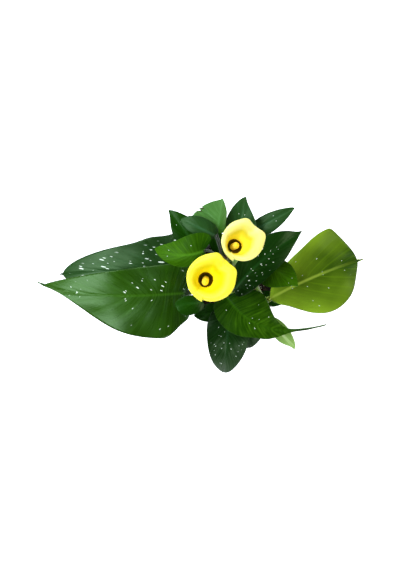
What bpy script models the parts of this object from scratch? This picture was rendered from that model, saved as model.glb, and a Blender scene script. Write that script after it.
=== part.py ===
"""A potted calla lily: two yellow flowers and nineteen leaves on one tuber, in a plain round pot.

The origin is the centre of the pot's underside, +Z is up, +X runs along the widest spread of the
leaves and -Y is the front. Sizes are in metres, and the leaf list is in millimetres.
"""

import math
from typing import NamedTuple

import bmesh
import bpy
from mathutils import Matrix, Vector

MM = 0.001

# ------------------------------------------------------------------ driving sizes
POT_DIAMETER = 0.127
POT_HEIGHT = 0.112
POT_BASE_DIAMETER = 0.092
POT_WALL = 0.002
POT_FLOOR = 0.0028
RIM_DEPTH = 0.013
RIM_PROUD = 0.0024
DRAIN_HOLES = 6
DRAIN_HOLE_DIAMETER = 0.008

SOIL_BELOW_RIM = 0.012
SOIL_MOUND = 0.0015
TUBER_DIAMETER = 0.080
TUBER_HEIGHT = 0.028

SHOOT_HEIGHT = 0.042
SHOOT_WIDTH = 0.0272

FOLIAGE_SPAN = 0.455
PLANT_HEIGHT = 0.300
LEAF_THICKNESS = 0.001
TAIL_WIDTH = 0.003
STALK_TAPER = 0.5

FLOWER_STEM_RADIUS = 0.0042
FLOWER_STEM_TOP_RADIUS = 0.0062
SPATHE_THICKNESS = 0.001
SPATHE_THROAT_RADIUS = 0.0054
SPADIX_RADIUS = 0.0043
SPADIX_FOOT_RADIUS = 0.0033
SPADIX_HEIGHT = 0.040

GAP = 0.0003

# The lists below are drawn at this span, this height above the soil, and this width of a shoot.
DRAWN_SPAN = 0.455
DRAWN_HEIGHT = 0.300
DRAWN_SHOOT_WIDTH = 0.0272
DRAWN_STALK_RING = 0.0088

# ------------------------------------------------------------------ levels that follow from them
SOIL_TOP = POT_HEIGHT - SOIL_BELOW_RIM
TUBER_TOP = SOIL_TOP + GAP
SHOOT_FOOT = TUBER_TOP + GAP
SHOOT_TOP = SHOOT_FOOT + SHOOT_HEIGHT

# How much wider than drawn the leaves spread, the plant rises, and the shoots and their stalks are.
SPREAD = FOLIAGE_SPAN / DRAWN_SPAN
RISE = PLANT_HEIGHT / DRAWN_HEIGHT
GIRTH = SHOOT_WIDTH / DRAWN_SHOOT_WIDTH

UP = Vector((0, 0, 1))


class Leaf(NamedTuple):
    """One leaf, in millimetres and degrees. Plan places run from the pot's axis, heights from the soil.

    bow pushes the midrib sideways to its left, and arch lifts it, near the stalk and near the tip.
    left and right are the blade's two halves, seen from the stalk: the width, the share of the length
    at which it is reached, how far the base reaches back past the stalk, and how full the flank stays
    towards the tip. tail is the length that the tip is drawn out to.
    """

    name: str
    shoot: str
    base: tuple
    tip: tuple
    bow: tuple
    arch: tuple
    left: tuple
    right: tuple
    tail: float
    fold: float
    droop: float
    stalk_radius: float
    finish: str


class Flower(NamedTuple):
    """One flower, in millimetres and degrees: its foot, the way its stem leans there, the way its
    mouth is widest and its tip points, and the mouth's reach ahead, beside and behind the throat."""

    name: str
    shoot: str
    base: tuple
    lean: tuple
    heading: float
    tip_heading: float
    reach: tuple
    height: float


SHOOTS = {
    "left": (-22, 6),
    "back": (2, 22),
    "right": (22, 2),
    "front": (-4, -20),
}

LEAVES = [
    Leaf("left_big", "left", (-72, -20, 160), (-274, -5, 130), (10, 18), (14, 34),
         (58, 0.17, 11, 0.06), (41, 0.06, 16, 0.69), 15, 9, 9, 3.2, "dark"),
    Leaf("left_rear", "left", (-60, 27, 128), (-248, 6, 98), (14, 0), (16, 26),
         (38, 0.45, 10, 0.73), (40, 0.14, 15, 0.85), 7, 8, 8, 3.2, "dark"),
    Leaf("left_small", "left", (-46, 35, 205), (-109, 39, 188), (10, 8), (8, 8),
         (16, 0.39, 4, 0.57), (26, 0.12, 18, 0.56), 1, 6, 6, 2.6, "bright"),
    Leaf("left_inner", "left", (-46, -31, 184), (-83, -35, 192), (1, 0), (6, 4),
         (16, 0.63, 3, 0.77), (11, 0.48, 3, 0.78), 1, 8, 3, 2.2, "dark"),
    Leaf("back_left", "left", (-51, 38, 142), (-92, 93, 148), (0, 0), (8, 6),
         (17, 0.44, 6, 0.30), (20, 0.39, 6, 0.58), 1, 10, 3, 2.4, "dark"),
    Leaf("back_inner", "left", (-31, 57, 186), (-75, 78, 184), (0, 0), (6, 6),
         (11, 0.50, 4, 0.8), (15, 0.42, 6, 0.7), 1, 8, 3, 2.2, "dark"),
    Leaf("back_torn", "back", (-27, 64, 180), (-20, 107, 172), (0, 0), (6, 6),
         (34, 0.30, 8, 0.45), (10, 0.45, 6, 0.6), 2, 4, 4, 2.2, "worn"),
    Leaf("centre", "back", (-19, 34, 86), (-32, 71, 96), (0, 0), (6, 6),
         (12, 0.50, 3, 0.8), (13, 0.50, 3, 0.8), 2, 8, 3, 2.2, "dark"),
    Leaf("back_middle", "back", (6, 41, 150), (12, 110, 160), (6, 4), (8, 6),
         (22, 0.31, 3, 0.71), (24, 0.33, 3, 0.35), 1, 10, 3, 2.4, "dark"),
    Leaf("back_right", "back", (15, 58, 132), (79, 96, 150), (3, 1), (8, 6),
         (12, 0.39, 3, 0.65), (15, 0.41, 3, 0.57), 2, 10, 3, 2.4, "dark"),
    Leaf("right_long", "front", (-2, -12, 182), (88, 64, 164), (8, 5), (20, 22),
         (24, 0.52, 12, 0.39), (22, 0.30, 13, 0.51), 5, 9, 5, 3.2, "dark"),
    Leaf("right_pale", "right", (46, -28, 136), (181, 28, 105), (6, 6), (14, 22),
         (57, 0.72, -16, 0.5), (54, 0.50, -14, 0.75), 14, 7, 6, 3.2, "pale"),
    Leaf("right_small", "right", (34, 22, 158), (82, -10, 166), (2, -1), (10, 6),
         (18, 0.54, 4, 0.56), (26, 0.33, 4, 0.25), 1, 8, 3, 2.4, "dark"),
    Leaf("right_low", "right", (36, -24, 80), (72, -35, 76), (0, 0), (6, 4),
         (11, 0.45, 3, 0.5), (11, 0.45, 3, 0.5), 2, 8, 3, 2.2, "dark"),
    Leaf("front_tailed", "front", (-14, -25, 150), (126, -64, 120), (-40, -28), (12, 14),
         (40, 0.22, 0, 0.0), (30, 0.16, 8, 0.2), 48, 8, 6, 3.2, "dark"),
    Leaf("front_broad", "front", (-12, -44, 122), (-16, -135, 70), (3, 2), (18, 30),
         (31, 0.25, 8, 0.79), (29, 0.25, 8, 0.75), 2, 8, 5, 3.0, "dark"),
    Leaf("front_low", "front", (22, -53, 106), (18, -100, 78), (0, 2), (8, 10),
         (18, 0.41, 3, 0.69), (11, 0.44, 3, 0.39), 3, 8, 3, 2.2, "dark"),
    Leaf("front_pale", "front", (46, -56, 118), (84, -99, 104), (0, 0), (6, 6),
         (12, 0.40, 2, 0.7), (11, 0.45, 2, 0.2), 2, 10, 2, 2.2, "pale"),
    Leaf("front_left", "front", (-21, -46, 114), (-58, -52, 112), (0, 0), (6, 4),
         (12, 0.43, 3, 0.63), (14, 0.40, 3, 0.2), 1, 8, 3, 2.2, "dark"),
]

FLOWERS = [
    Flower("front", "left", (-42, -1, 238), (-0.02, -0.05), 22, 42, (38, 28, 22), 56),
    Flower("rear", "back", (-8, 39, 232), (0.04, 0.0), 34, 44, (37, 23, 15), 52),
]

FINISHES = {
    "pot": ((0.018, 0.018, 0.017), 0.50),
    "soil": ((0.025, 0.015, 0.010), 0.95),
    "tuber": ((0.16, 0.085, 0.045), 0.85),
    "shoot": ((0.20, 0.26, 0.10), 0.50),
    "stalk": ((0.10, 0.22, 0.035), 0.45),
    "dark": ((0.015, 0.075, 0.010), 0.38),
    "bright": ((0.070, 0.190, 0.010), 0.40),
    "pale": ((0.130, 0.230, 0.012), 0.40),
    "worn": ((0.070, 0.160, 0.040), 0.45),
    "spathe": ((0.90, 0.76, 0.03), 0.45),
    "spadix": ((0.85, 0.52, 0.04), 0.70),
}


# ------------------------------------------------------------------ helpers
def clear_scene():
    for obj in list(bpy.data.objects):
        bpy.data.objects.remove(obj)


def new_collection(name):
    collection = bpy.data.collections.new(name)
    bpy.context.scene.collection.children.link(collection)
    return collection


def finish_of(name):
    """The named finish as a Principled material, made once."""
    material = bpy.data.materials.get(name)
    if material is None:
        colour, roughness = FINISHES[name]
        material = bpy.data.materials.new(name)
        material.use_nodes = True
        shader = material.node_tree.nodes["Principled BSDF"]
        shader.inputs["Base Color"].default_value = (*colour, 1)
        shader.inputs["Roughness"].default_value = roughness
        shader.inputs["Metallic"].default_value = 0
    return material


def add_object(name, data, finish):
    obj = bpy.data.objects.new(name, data)
    plant.objects.link(obj)
    data.materials.append(finish_of(finish))
    return obj


def turned(name, profile, steps, finish):
    """A solid turned about Z from a list of (radius, height) that runs down its outer side."""
    mesh = bpy.data.meshes.new(name)
    corners = [(radius, 0, height) for radius, height in profile]
    mesh.from_pydata(corners, [(i, i + 1) for i in range(len(corners) - 1)], [])
    obj = add_object(name, mesh, finish)
    screw = obj.modifiers.new("turn", "SCREW")
    screw.steps = screw.render_steps = steps
    screw.use_merge_vertices = True
    screw.merge_threshold = 0.00001
    return obj


def tube(name, points, radii, sides, finish):
    """A capped tube along a list of points, with a radius at each."""
    curve = bpy.data.curves.new(name, "CURVE")
    curve.dimensions = "3D"
    curve.bevel_depth = 1.0
    curve.bevel_resolution = sides // 2 - 2
    curve.use_fill_caps = True
    spline = curve.splines.new("POLY")
    spline.points.add(len(points) - 1)
    for knot, point, radius in zip(spline.points, points, radii):
        knot.co = (*point, 1)
        knot.radius = radius
    return add_object(name, curve, finish)


def bezier(corners, share):
    """The point at that share of a Bezier curve, of any number of corners."""
    while len(corners) > 1:
        corners = [a.lerp(b, share) for a, b in zip(corners, corners[1:])]
    return corners[0]


def drawn(place):
    """A place of the leaf and flower lists, in the pot's frame."""
    return Vector((place[0] * MM * SPREAD, place[1] * MM * SPREAD, SOIL_TOP + place[2] * MM * RISE))


def shoot_centre(shoot, height):
    """A point of a shoot's axis. The shoots stand further apart when they are wider."""
    return Vector((SHOOTS[shoot][0] * MM * GIRTH, SHOOTS[shoot][1] * MM * GIRTH, height))


# ------------------------------------------------------------------ pot, soil and tuber
def pot_wall_radius(height):
    """The outer radius of the pot's tapered wall under its rim."""
    top = POT_DIAMETER / 2 - RIM_PROUD
    return POT_BASE_DIAMETER / 2 + (top - POT_BASE_DIAMETER / 2) * height / POT_HEIGHT


def make_pot():
    """A tapered shell with a rolled rim, and drain holes in its flat floor."""
    rim_radius = POT_DIAMETER / 2
    rim_foot = POT_HEIGHT - RIM_DEPTH
    rounding = 0.0012
    pot = turned(
        "pot",
        [
            (0, POT_FLOOR),
            (pot_wall_radius(POT_FLOOR) - POT_WALL, POT_FLOOR),
            (pot_wall_radius(POT_HEIGHT) - POT_WALL, POT_HEIGHT - rounding),
            (pot_wall_radius(POT_HEIGHT) - POT_WALL + rounding, POT_HEIGHT),
            (rim_radius - rounding, POT_HEIGHT),
            (rim_radius, POT_HEIGHT - rounding),
            (rim_radius, rim_foot + rounding),
            (rim_radius - rounding, rim_foot),
            (pot_wall_radius(rim_foot), rim_foot),
            (pot_wall_radius(rounding), rounding),
            (POT_BASE_DIAMETER / 2 - rounding, 0),
            (0, 0),
        ],
        48,
        "pot",
    )
    ring = POT_BASE_DIAMETER / 2 - POT_WALL - DRAIN_HOLE_DIAMETER
    for i in range(DRAIN_HOLES):
        angle = math.tau * (i + 0.5) / DRAIN_HOLES
        bpy.ops.mesh.primitive_cylinder_add(
            vertices=12,
            radius=DRAIN_HOLE_DIAMETER / 2,
            depth=POT_FLOOR * 3,
            location=(ring * math.cos(angle), ring * math.sin(angle), POT_FLOOR / 2),
        )
        cutter = bpy.context.object
        cutter.name = f"drain_cutter_{i + 1}"
        cutter.display_type = "WIRE"
        cutter.hide_render = True
        for holder in list(cutter.users_collection):
            holder.objects.unlink(cutter)
        cutters.objects.link(cutter)
    drains = pot.modifiers.new("drain_holes", "BOOLEAN")
    drains.operation = "DIFFERENCE"
    drains.operand_type = "COLLECTION"
    drains.collection = cutters
    drains.solver = "EXACT"


def make_soil():
    """The potting mix: it fills the pot and has a hollow in its top for the tuber."""
    hollow = TUBER_DIAMETER / 2 + GAP
    hollow_floor = TUBER_TOP - TUBER_HEIGHT - GAP
    floor = POT_FLOOR + GAP
    side = POT_WALL + GAP
    edge = SOIL_TOP - SOIL_MOUND
    turned(
        "potting_soil",
        [
            (0, hollow_floor),
            (hollow, hollow_floor),
            (hollow, SOIL_TOP),
            (pot_wall_radius(edge) - side, edge),
            (pot_wall_radius(floor) - side, floor),
            (0, floor),
        ],
        36,
        "soil",
    )


def make_tuber():
    """A flat round tuber, whose level top carries the shoots."""
    radius = TUBER_DIAMETER / 2
    shoulders = [(0.0, 1.0), (0.90, 1.0), (1.0, 0.78), (0.97, 0.45), (0.72, 0.12), (0.4, 0.0), (0.0, 0.0)]
    foot = TUBER_TOP - TUBER_HEIGHT
    turned(
        "tuber",
        [(radius * out, foot + TUBER_HEIGHT * up) for out, up in shoulders],
        28,
        "tuber",
    )


def make_shoot(name):
    """The thick foot of a shoot, where its leaf stalks wrap each other."""
    radius = SHOOT_WIDTH / 2
    outline = [(0.0, 1.0), (0.90, 1.0), (0.97, 0.90), (1.0, 0.45), (0.93, 0.12), (0.84, 0.0), (0.0, 0.0)]
    shoot = turned(
        "shoot_" + name,
        [(radius * out, SHOOT_HEIGHT * up) for out, up in outline],
        16,
        "shoot",
    )
    shoot.location = shoot_centre(name, SHOOT_FOOT)


# ------------------------------------------------------------------ leaves
class Midrib:
    """The curve that a leaf is built along, walked by length from the stalk."""

    STEPS = 60

    def __init__(self, leaf):
        base, tip = drawn(leaf.base), drawn(leaf.tip)
        ahead = tip - base
        left = UP.cross(ahead).normalized()
        aside, lift = left * MM * SPREAD, UP * MM * RISE
        near = base + ahead / 3 + aside * leaf.bow[0] + lift * leaf.arch[0]
        far = tip - ahead / 3 + aside * leaf.bow[1] + lift * leaf.arch[1]
        corners = [base, near, far, tip]
        self.points = [bezier(corners, i / self.STEPS) for i in range(self.STEPS + 1)]
        self.along = [0.0]
        for a, b in zip(self.points, self.points[1:]):
            self.along.append(self.along[-1] + (b - a).length)
        self.length = self.along[-1]

    def frame(self, distance):
        """The point, and the forward, left and up directions, at a distance from the stalk."""
        inside = min(max(distance, 0.0), self.length)
        i = 1
        while i < self.STEPS and self.along[i] < inside:
            i += 1
        share = (inside - self.along[i - 1]) / (self.along[i] - self.along[i - 1])
        before = (self.points[i] - self.points[i - 1]).normalized()
        last = min(i + 1, self.STEPS)
        after = (self.points[last] - self.points[last - 1]).normalized()
        forward = before.lerp(after, share).normalized()
        point = self.points[i - 1].lerp(self.points[i], share) + forward * (distance - inside)
        left = UP.cross(forward).normalized()
        return point, forward, left, forward.cross(left)


def margin(half, tail, length, share):
    """A point of one half's edge, laid flat: the distance along the midrib and out from it.
    The edge leaves the stalk backwards, round a lobe, and comes forward along the flank to the tail."""
    spread = MM * SPREAD
    width, widest, lobe, full = half[0] * spread, half[1] * length, half[2] * spread, half[3]
    end, thin = length - tail * spread, TAIL_WIDTH / 2
    flank = end - widest
    if share < 0.45:
        corners = [(0, 0), (-1.6 * lobe, 0.40 * width), (0.35 * widest - 1.1 * lobe, width), (widest, width)]
        share = share / 0.45
    elif share < 0.9:
        turn = thin + full * (0.62 * width - thin)
        corners = [(widest, width), (widest + 0.45 * flank, width), (end - 0.42 * (1 - full) * flank, turn), (end, thin)]
        share = (share - 0.45) / 0.45
    else:
        corners = [(end, thin), (length, 0)]
        share = (share - 0.9) / 0.1
    return bezier([Vector(c) for c in corners], share)


def leaf_point(leaf, midrib, side, share, out):
    """A point of the blade: share runs along its edge from stalk to tip, and out from midrib to edge."""
    half = leaf.left if side > 0 else leaf.right
    rib = Vector((midrib.length * share**1.8, 0))
    along, across = rib.lerp(margin(half, leaf.tail, midrib.length, share), out)
    point, _, left, up = midrib.frame(along)
    fold = math.radians(leaf.fold)
    drop = leaf.droop * MM * RISE * (across / (half[0] * MM * SPREAD)) ** 2
    return point + left * side * across * math.cos(fold) + up * (across * math.sin(fold) - drop)


def make_blade(leaf, midrib):
    """A flat grid bent into the leaf's shape and given its thickness."""
    big = max(leaf.left[0], leaf.right[0]) > 20
    rows = 14 if big else 9
    half_columns = 3 if big else 2
    columns = 2 * half_columns
    shape = bmesh.new()
    bmesh.ops.create_grid(shape, x_segments=rows, y_segments=columns, size=1)
    for vertex in shape.verts:
        share = (vertex.co.x + 1) / 2
        side = math.copysign(1, vertex.co.y)
        vertex.co = leaf_point(leaf, midrib, side, share, abs(vertex.co.y))
    bmesh.ops.remove_doubles(shape, verts=shape.verts, dist=0.00005)
    bmesh.ops.recalc_face_normals(shape, faces=shape.faces)
    mesh = bpy.data.meshes.new("leaf_" + leaf.name)
    shape.to_mesh(mesh)
    shape.free()
    blade = add_object("leaf_" + leaf.name, mesh, leaf.finish)
    solid = blade.modifiers.new("thickness", "SOLIDIFY")
    solid.thickness = LEAF_THICKNESS
    solid.offset = 0
    mesh.shade_smooth()


def make_stalk(leaf, midrib, root):
    """The leaf's stalk: it rises from its shoot and ends just under the blade's base."""
    base, forward, _, up = midrib.frame(0)
    arrival = (forward * 0.55 + up).normalized()
    slant = arrival.angle(up)
    foot_radius = leaf.stalk_radius * MM * GIRTH
    top_radius = foot_radius * STALK_TAPER
    short = LEAF_THICKNESS / 2 + GAP + top_radius * math.sin(slant)
    end = base - arrival * short / math.cos(slant)
    reach = (end - root).length
    corners = [root, root + UP * reach * 0.42, end - arrival * reach * 0.30, end]
    steps = 9
    shares = [i / steps for i in range(steps + 1)]
    radii = [foot_radius + (top_radius - foot_radius) * s**1.5 for s in shares]
    tube("stalk_" + leaf.name, [bezier(corners, s) for s in shares], radii, 8, "stalk")


# ------------------------------------------------------------------ flowers
def flower_frame(flower):
    """The matrix that stands a flower's parts on the top of its stem."""
    axis = Vector((*flower.lean, 1)).normalized()
    turn = UP.rotation_difference(axis).to_matrix().to_4x4()
    return Matrix.Translation(drawn(flower.base)) @ turn


def spathe_point(flower, heading, share):
    """A point of the yellow hood that wraps the spadix, from its foot (share 0) to its rim (1).
    The heading runs once round from the seam, a little past a full turn, so that the edges overlap."""
    ahead, beside, behind = (r * MM for r in flower.reach)
    around = heading - math.radians(flower.heading)
    mean = (ahead + behind) / 4 + beside / 2
    reach = mean + (ahead - behind) / 2 * math.cos(around)
    reach += ((ahead + behind) / 2 - mean) * math.cos(2 * around)
    off_tip = math.degrees(heading - math.radians(flower.tip_heading))
    off_tip = (off_tip + 180) % 360 - 180
    tip = math.exp(-((off_tip / 13) ** 2))
    shoulder = math.exp(-(((abs(off_tip) - 24) / 10) ** 2))
    reach += (2.0 * shoulder - 3.0 * tip) * MM
    rim = (flower.height + 5 * math.cos(around)) * MM
    corners = [
        Vector((SPATHE_THROAT_RADIUS, 0)),
        Vector((0.0095, 0.42 * rim)),
        Vector((0.42 * reach, 1.10 * rim)),
        Vector((reach, rim - (3 + 8 * tip) * MM)),
    ]
    radius, height = bezier(corners, share)
    return radius, height


def make_spathe(flower):
    """The hood: a sheet rolled into a funnel, one edge tucked inside the other at the seam."""
    name = "spathe_" + flower.name
    turns, rows = 30, 8
    overlap = math.radians(14)
    tuck = 0.0008
    seam = math.radians(flower.heading) - math.pi
    shape = bmesh.new()
    bmesh.ops.create_grid(shape, x_segments=turns, y_segments=rows, size=1)
    for vertex in shape.verts:
        swing = vertex.co.x * (math.pi + overlap)
        heading = seam + math.pi + swing
        radius, height = spathe_point(flower, heading, (vertex.co.y + 1) / 2)
        radius += tuck * swing / math.pi
        vertex.co = (radius * math.cos(heading), radius * math.sin(heading), height)
    bmesh.ops.recalc_face_normals(shape, faces=shape.faces)
    mesh = bpy.data.meshes.new(name)
    shape.to_mesh(mesh)
    shape.free()
    spathe = add_object(name, mesh, "spathe")
    spathe.matrix_world = flower_frame(flower) @ Matrix.Translation(UP * (GAP + SPATHE_THICKNESS / 2))
    solid = spathe.modifiers.new("thickness", "SOLIDIFY")
    solid.thickness = SPATHE_THICKNESS
    solid.offset = 0
    mesh.shade_smooth()


def make_spadix(flower):
    """The finger of tiny florets that stands in the hood's throat."""
    outline = [(0.0, 1.0), (0.55, 0.97), (0.88, 0.90), (1.0, 0.78), (0.96, 0.35)]
    profile = [(SPADIX_RADIUS * out, SPADIX_HEIGHT * up) for out, up in outline]
    profile += [(SPADIX_FOOT_RADIUS, 0.12 * SPADIX_HEIGHT), (SPADIX_FOOT_RADIUS, 0), (0, 0)]
    spadix = turned("spadix_" + flower.name, profile, 14, "spadix")
    spadix.matrix_world = flower_frame(flower) @ Matrix.Translation(UP * GAP)


def make_flower_stem(flower, root):
    """The stem: upright at its foot, and widened at its top to carry the hood and the spadix."""
    frame = flower_frame(flower)
    end, axis = frame.translation, frame.to_3x3() @ UP
    reach = (end - root).length
    corners = [root, root + UP * reach * 0.40, end - axis * reach * 0.40, end]
    steps = 10
    shares = [i / steps for i in range(steps)] + [0.965, 1.0]
    radii = [FLOWER_STEM_RADIUS] * steps + [FLOWER_STEM_TOP_RADIUS * 0.92, FLOWER_STEM_TOP_RADIUS]
    points = [bezier(corners, s) for s in shares]
    tube("flower_stem_" + flower.name, points, radii, 10, "stalk")


# ------------------------------------------------------------------ the plant
def root_places(shoot, leaves):
    """Where each leaf's stalk stands on its shoot: evenly round a ring, in the order of their headings."""
    centre = shoot_centre(shoot, SHOOT_TOP + 2 * GAP)
    aims = {}
    for leaf in leaves:
        aim = drawn(leaf.base) - centre
        aims[leaf.name] = math.atan2(aim.y, aim.x)
    order = sorted(leaves, key=lambda leaf: aims[leaf.name])
    step = math.tau / len(order)
    east = sum(math.cos(aims[leaf.name] - i * step) for i, leaf in enumerate(order))
    north = sum(math.sin(aims[leaf.name] - i * step) for i, leaf in enumerate(order))
    first = math.atan2(north, east)
    places = {}
    for i, leaf in enumerate(order):
        angle = first + i * step
        ring = Vector((math.cos(angle), math.sin(angle), 0)) * DRAWN_STALK_RING * GIRTH
        places[leaf.name] = centre + ring
    return places


def make_plant():
    for name in SHOOTS:
        make_shoot(name)
        leaves = [leaf for leaf in LEAVES if leaf.shoot == name]
        for leaf_name, root in root_places(name, leaves).items():
            leaf = next(leaf for leaf in leaves if leaf.name == leaf_name)
            midrib = Midrib(leaf)
            make_blade(leaf, midrib)
            make_stalk(leaf, midrib, root)
    for flower in FLOWERS:
        make_flower_stem(flower, shoot_centre(flower.shoot, SHOOT_TOP + GAP))
        make_spathe(flower)
        make_spadix(flower)


clear_scene()
plant = new_collection("potted_calla_lily")
cutters = new_collection("cutters")
make_pot()
make_soil()
make_tuber()
make_plant()
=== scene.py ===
# %% [markdown]
# # A potted calla lily
#
# A potted calla is a tuber in a plastic pot. Leaves rise from it on long stalks, and each flower is one
# yellow leaf, the spathe, rolled round a finger of tiny florets, the spadix. The solid model fixes where
# every leaf, stem and flower is. This lesson gives each one its fine surface: folded and veined blades,
# wrapped sheaths, a ribbed spathe, and a moulded pot with peat in it.

# %% Libraries and the solid model
import math
import random
from bisect import bisect_right
from typing import NamedTuple

import bmesh
import bpy
from mathutils import Matrix, Vector, noise


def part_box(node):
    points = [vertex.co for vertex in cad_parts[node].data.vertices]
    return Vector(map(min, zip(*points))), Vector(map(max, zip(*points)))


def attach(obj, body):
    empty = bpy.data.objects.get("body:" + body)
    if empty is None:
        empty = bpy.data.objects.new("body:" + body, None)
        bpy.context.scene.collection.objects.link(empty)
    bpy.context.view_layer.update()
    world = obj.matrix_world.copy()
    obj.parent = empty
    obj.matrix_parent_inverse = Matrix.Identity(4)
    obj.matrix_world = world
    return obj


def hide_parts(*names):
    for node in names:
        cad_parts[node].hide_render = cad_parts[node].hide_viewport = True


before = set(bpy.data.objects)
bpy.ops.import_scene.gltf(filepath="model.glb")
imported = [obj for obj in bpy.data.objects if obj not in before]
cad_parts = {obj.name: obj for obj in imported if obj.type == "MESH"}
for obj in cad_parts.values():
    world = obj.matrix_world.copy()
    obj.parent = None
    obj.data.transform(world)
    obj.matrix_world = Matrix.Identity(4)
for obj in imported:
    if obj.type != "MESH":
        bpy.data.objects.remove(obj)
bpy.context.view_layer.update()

MM = 0.001
UP = Vector((0, 0, 1))

# %% [markdown]
# ## Camera
#
# The view is straight down, as a plant is shown in a catalogue of pots seen from above. A short distance
# would make the tall flowers look too big for the leaves, so the camera stands about four plant heights
# up. Its turn is zero, because a Blender camera looks down -Z when it isn't turned.

# %% Camera
CAMERA_HEIGHT = 1.55
CAMERA_PLACE = (-0.0495, -0.009)
LENS_MM = 60.5

camera = bpy.data.objects.new("camera", bpy.data.cameras.new("camera"))
camera.location = (*CAMERA_PLACE, CAMERA_HEIGHT)
camera.data.lens = LENS_MM
camera.data.sensor_width = 36
bpy.context.scene.collection.objects.link(camera)
bpy.context.scene.camera = camera
bpy.context.scene.view_settings.view_transform = "Standard"

# %% [markdown]
# ## Colours and nodes
#
# A colour picked from a screen is sRGB, and a shader works with linear light. One function makes that
# change, so every colour below stays a hex value that can be read. One more function adds a node, sets
# it and links it, which keeps each material to a few lines.


# %% Colours and nodes
def colour(code):
    """An sRGB hex value as linear red, green, blue and alpha."""
    channels = [int(code[i : i + 2], 16) / 255 for i in (1, 3, 5)]
    linear = [c / 12.92 if c <= 0.04045 else ((c + 0.055) / 1.055) ** 2.4 for c in channels]
    return (*linear, 1.0)


def add_node(material, kind, inputs=None, stops=None, **settings):
    """Adds a node. An input takes a value or the socket that feeds it, and stops are a ramp's colours."""
    made = material.node_tree.nodes.new(kind)
    for name, value in settings.items():
        setattr(made, name, value)
    for name, value in (inputs or {}).items():
        if isinstance(value, bpy.types.NodeSocket):
            material.node_tree.links.new(value, made.inputs[name])
        else:
            made.inputs[name].default_value = value
    for i, (place, value) in enumerate(stops or []):
        elements = made.color_ramp.elements
        element = elements[i] if i < 2 else elements.new(place)
        element.position = place
        element.color = value
    return made


def new_material(name, roughness, **shader_settings):
    """A Principled material with its even settings on the shader's own sockets."""
    material = bpy.data.materials.new(name)
    material.use_nodes = True
    shader = material.node_tree.nodes["Principled BSDF"]
    shader.inputs["Roughness"].default_value = roughness
    for key, value in shader_settings.items():
        shader.inputs[key.replace("_", " ").title().replace("Ior", "IOR")].default_value = value
    return material, shader


# The sockets of a Mix node that holds colours: its two inputs, and its result.
MIX_A, MIX_B, MIX_RESULT = 6, 7, 2

# %% [markdown]
# ## Floor and light
#
# The plant stands on a white sweep, the curved paper of a studio. The paper glows a little, as it does
# with a lamp behind it, so that it stays white under the leaves. Large soft lamps stand to the sides,
# and none straight above: a leaf is waxy, so it mirrors whatever is over it, and dark air overhead keeps
# the flat parts a deep green while the sloping parts catch the pale light from the side.

# %% Floor and light
FLOOR_SIZE = 8.0


def paper_sweep():
    """Seamless white studio paper: cotton-white, with a faint glow."""
    material, shader = new_material("seamless paper", 0.9)
    shader.inputs["Base Color"].default_value = colour("#F4F4F2")
    shader.inputs["Emission Color"].default_value = colour("#FFFFFF")
    shader.inputs["Emission Strength"].default_value = 0.85
    return material


bpy.ops.mesh.primitive_plane_add(size=FLOOR_SIZE)
floor = bpy.context.object
floor.name = "paper_sweep"
floor.data.materials.append(paper_sweep())


def soft_lamp(name, place, size, watts, tint):
    """A square soft lamp that faces the plant."""
    lamp = bpy.data.lights.new(name, "AREA")
    lamp.shape = "SQUARE"
    lamp.size = size
    lamp.energy = watts
    lamp.color = colour(tint)[:3]
    holder = bpy.data.objects.new(name, lamp)
    holder.location = place
    aim = Vector((0, 0, 0.25)) - Vector(place)
    holder.rotation_euler = aim.to_track_quat("-Z", "Y").to_euler()
    bpy.context.scene.collection.objects.link(holder)


soft_lamp("window_left", (-1.15, 0.10, 1.70), 1.2, 46, "#E6F2FF")
soft_lamp("window_front", (0.5, -1.8, 0.9), 0.9, 16, "#F8FAFF")
soft_lamp("fill_right", (1.8, 0.3, 1.1), 0.9, 24, "#FFFAF0")
soft_lamp("fill_back", (-0.7, 1.6, 1.3), 0.9, 26, "#F0F8FF")

world = bpy.data.worlds.new("studio")
world.use_nodes = True
world.node_tree.nodes["Background"].inputs["Color"].default_value = colour("#E9F1F7")
world.node_tree.nodes["Background"].inputs["Strength"].default_value = 0.12
bpy.context.scene.world = world

# %% [markdown]
# ## The plant's plan
#
# These lists repeat the solid model's leaves and flowers, in millimetres: where each leaf's stalk ends
# and where its tip is, how its midrib bows, and how wide its two halves are. Only the big left leaf's
# lobes reach a little further back. The blade is worked out from the lists again here on a much finer
# grid, and each piece is compared with its solid when it is made.

# %% The plant's plan
POT_HEIGHT = 0.112
SOIL_BELOW_RIM = 0.012
SOIL_TOP = POT_HEIGHT - SOIL_BELOW_RIM
TAIL_WIDTH = 0.003
STALK_TAPER = 0.5


class Leaf(NamedTuple):
    """One leaf. left and right are its halves: the width, where along the leaf it is reached, how far
    the base reaches back past the stalk, and how full the flank stays towards the tip."""

    name: str
    base: tuple
    tip: tuple
    bow: tuple
    arch: tuple
    left: tuple
    right: tuple
    tail: float
    fold: float
    droop: float
    stalk_radius: float
    tissue: str


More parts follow.
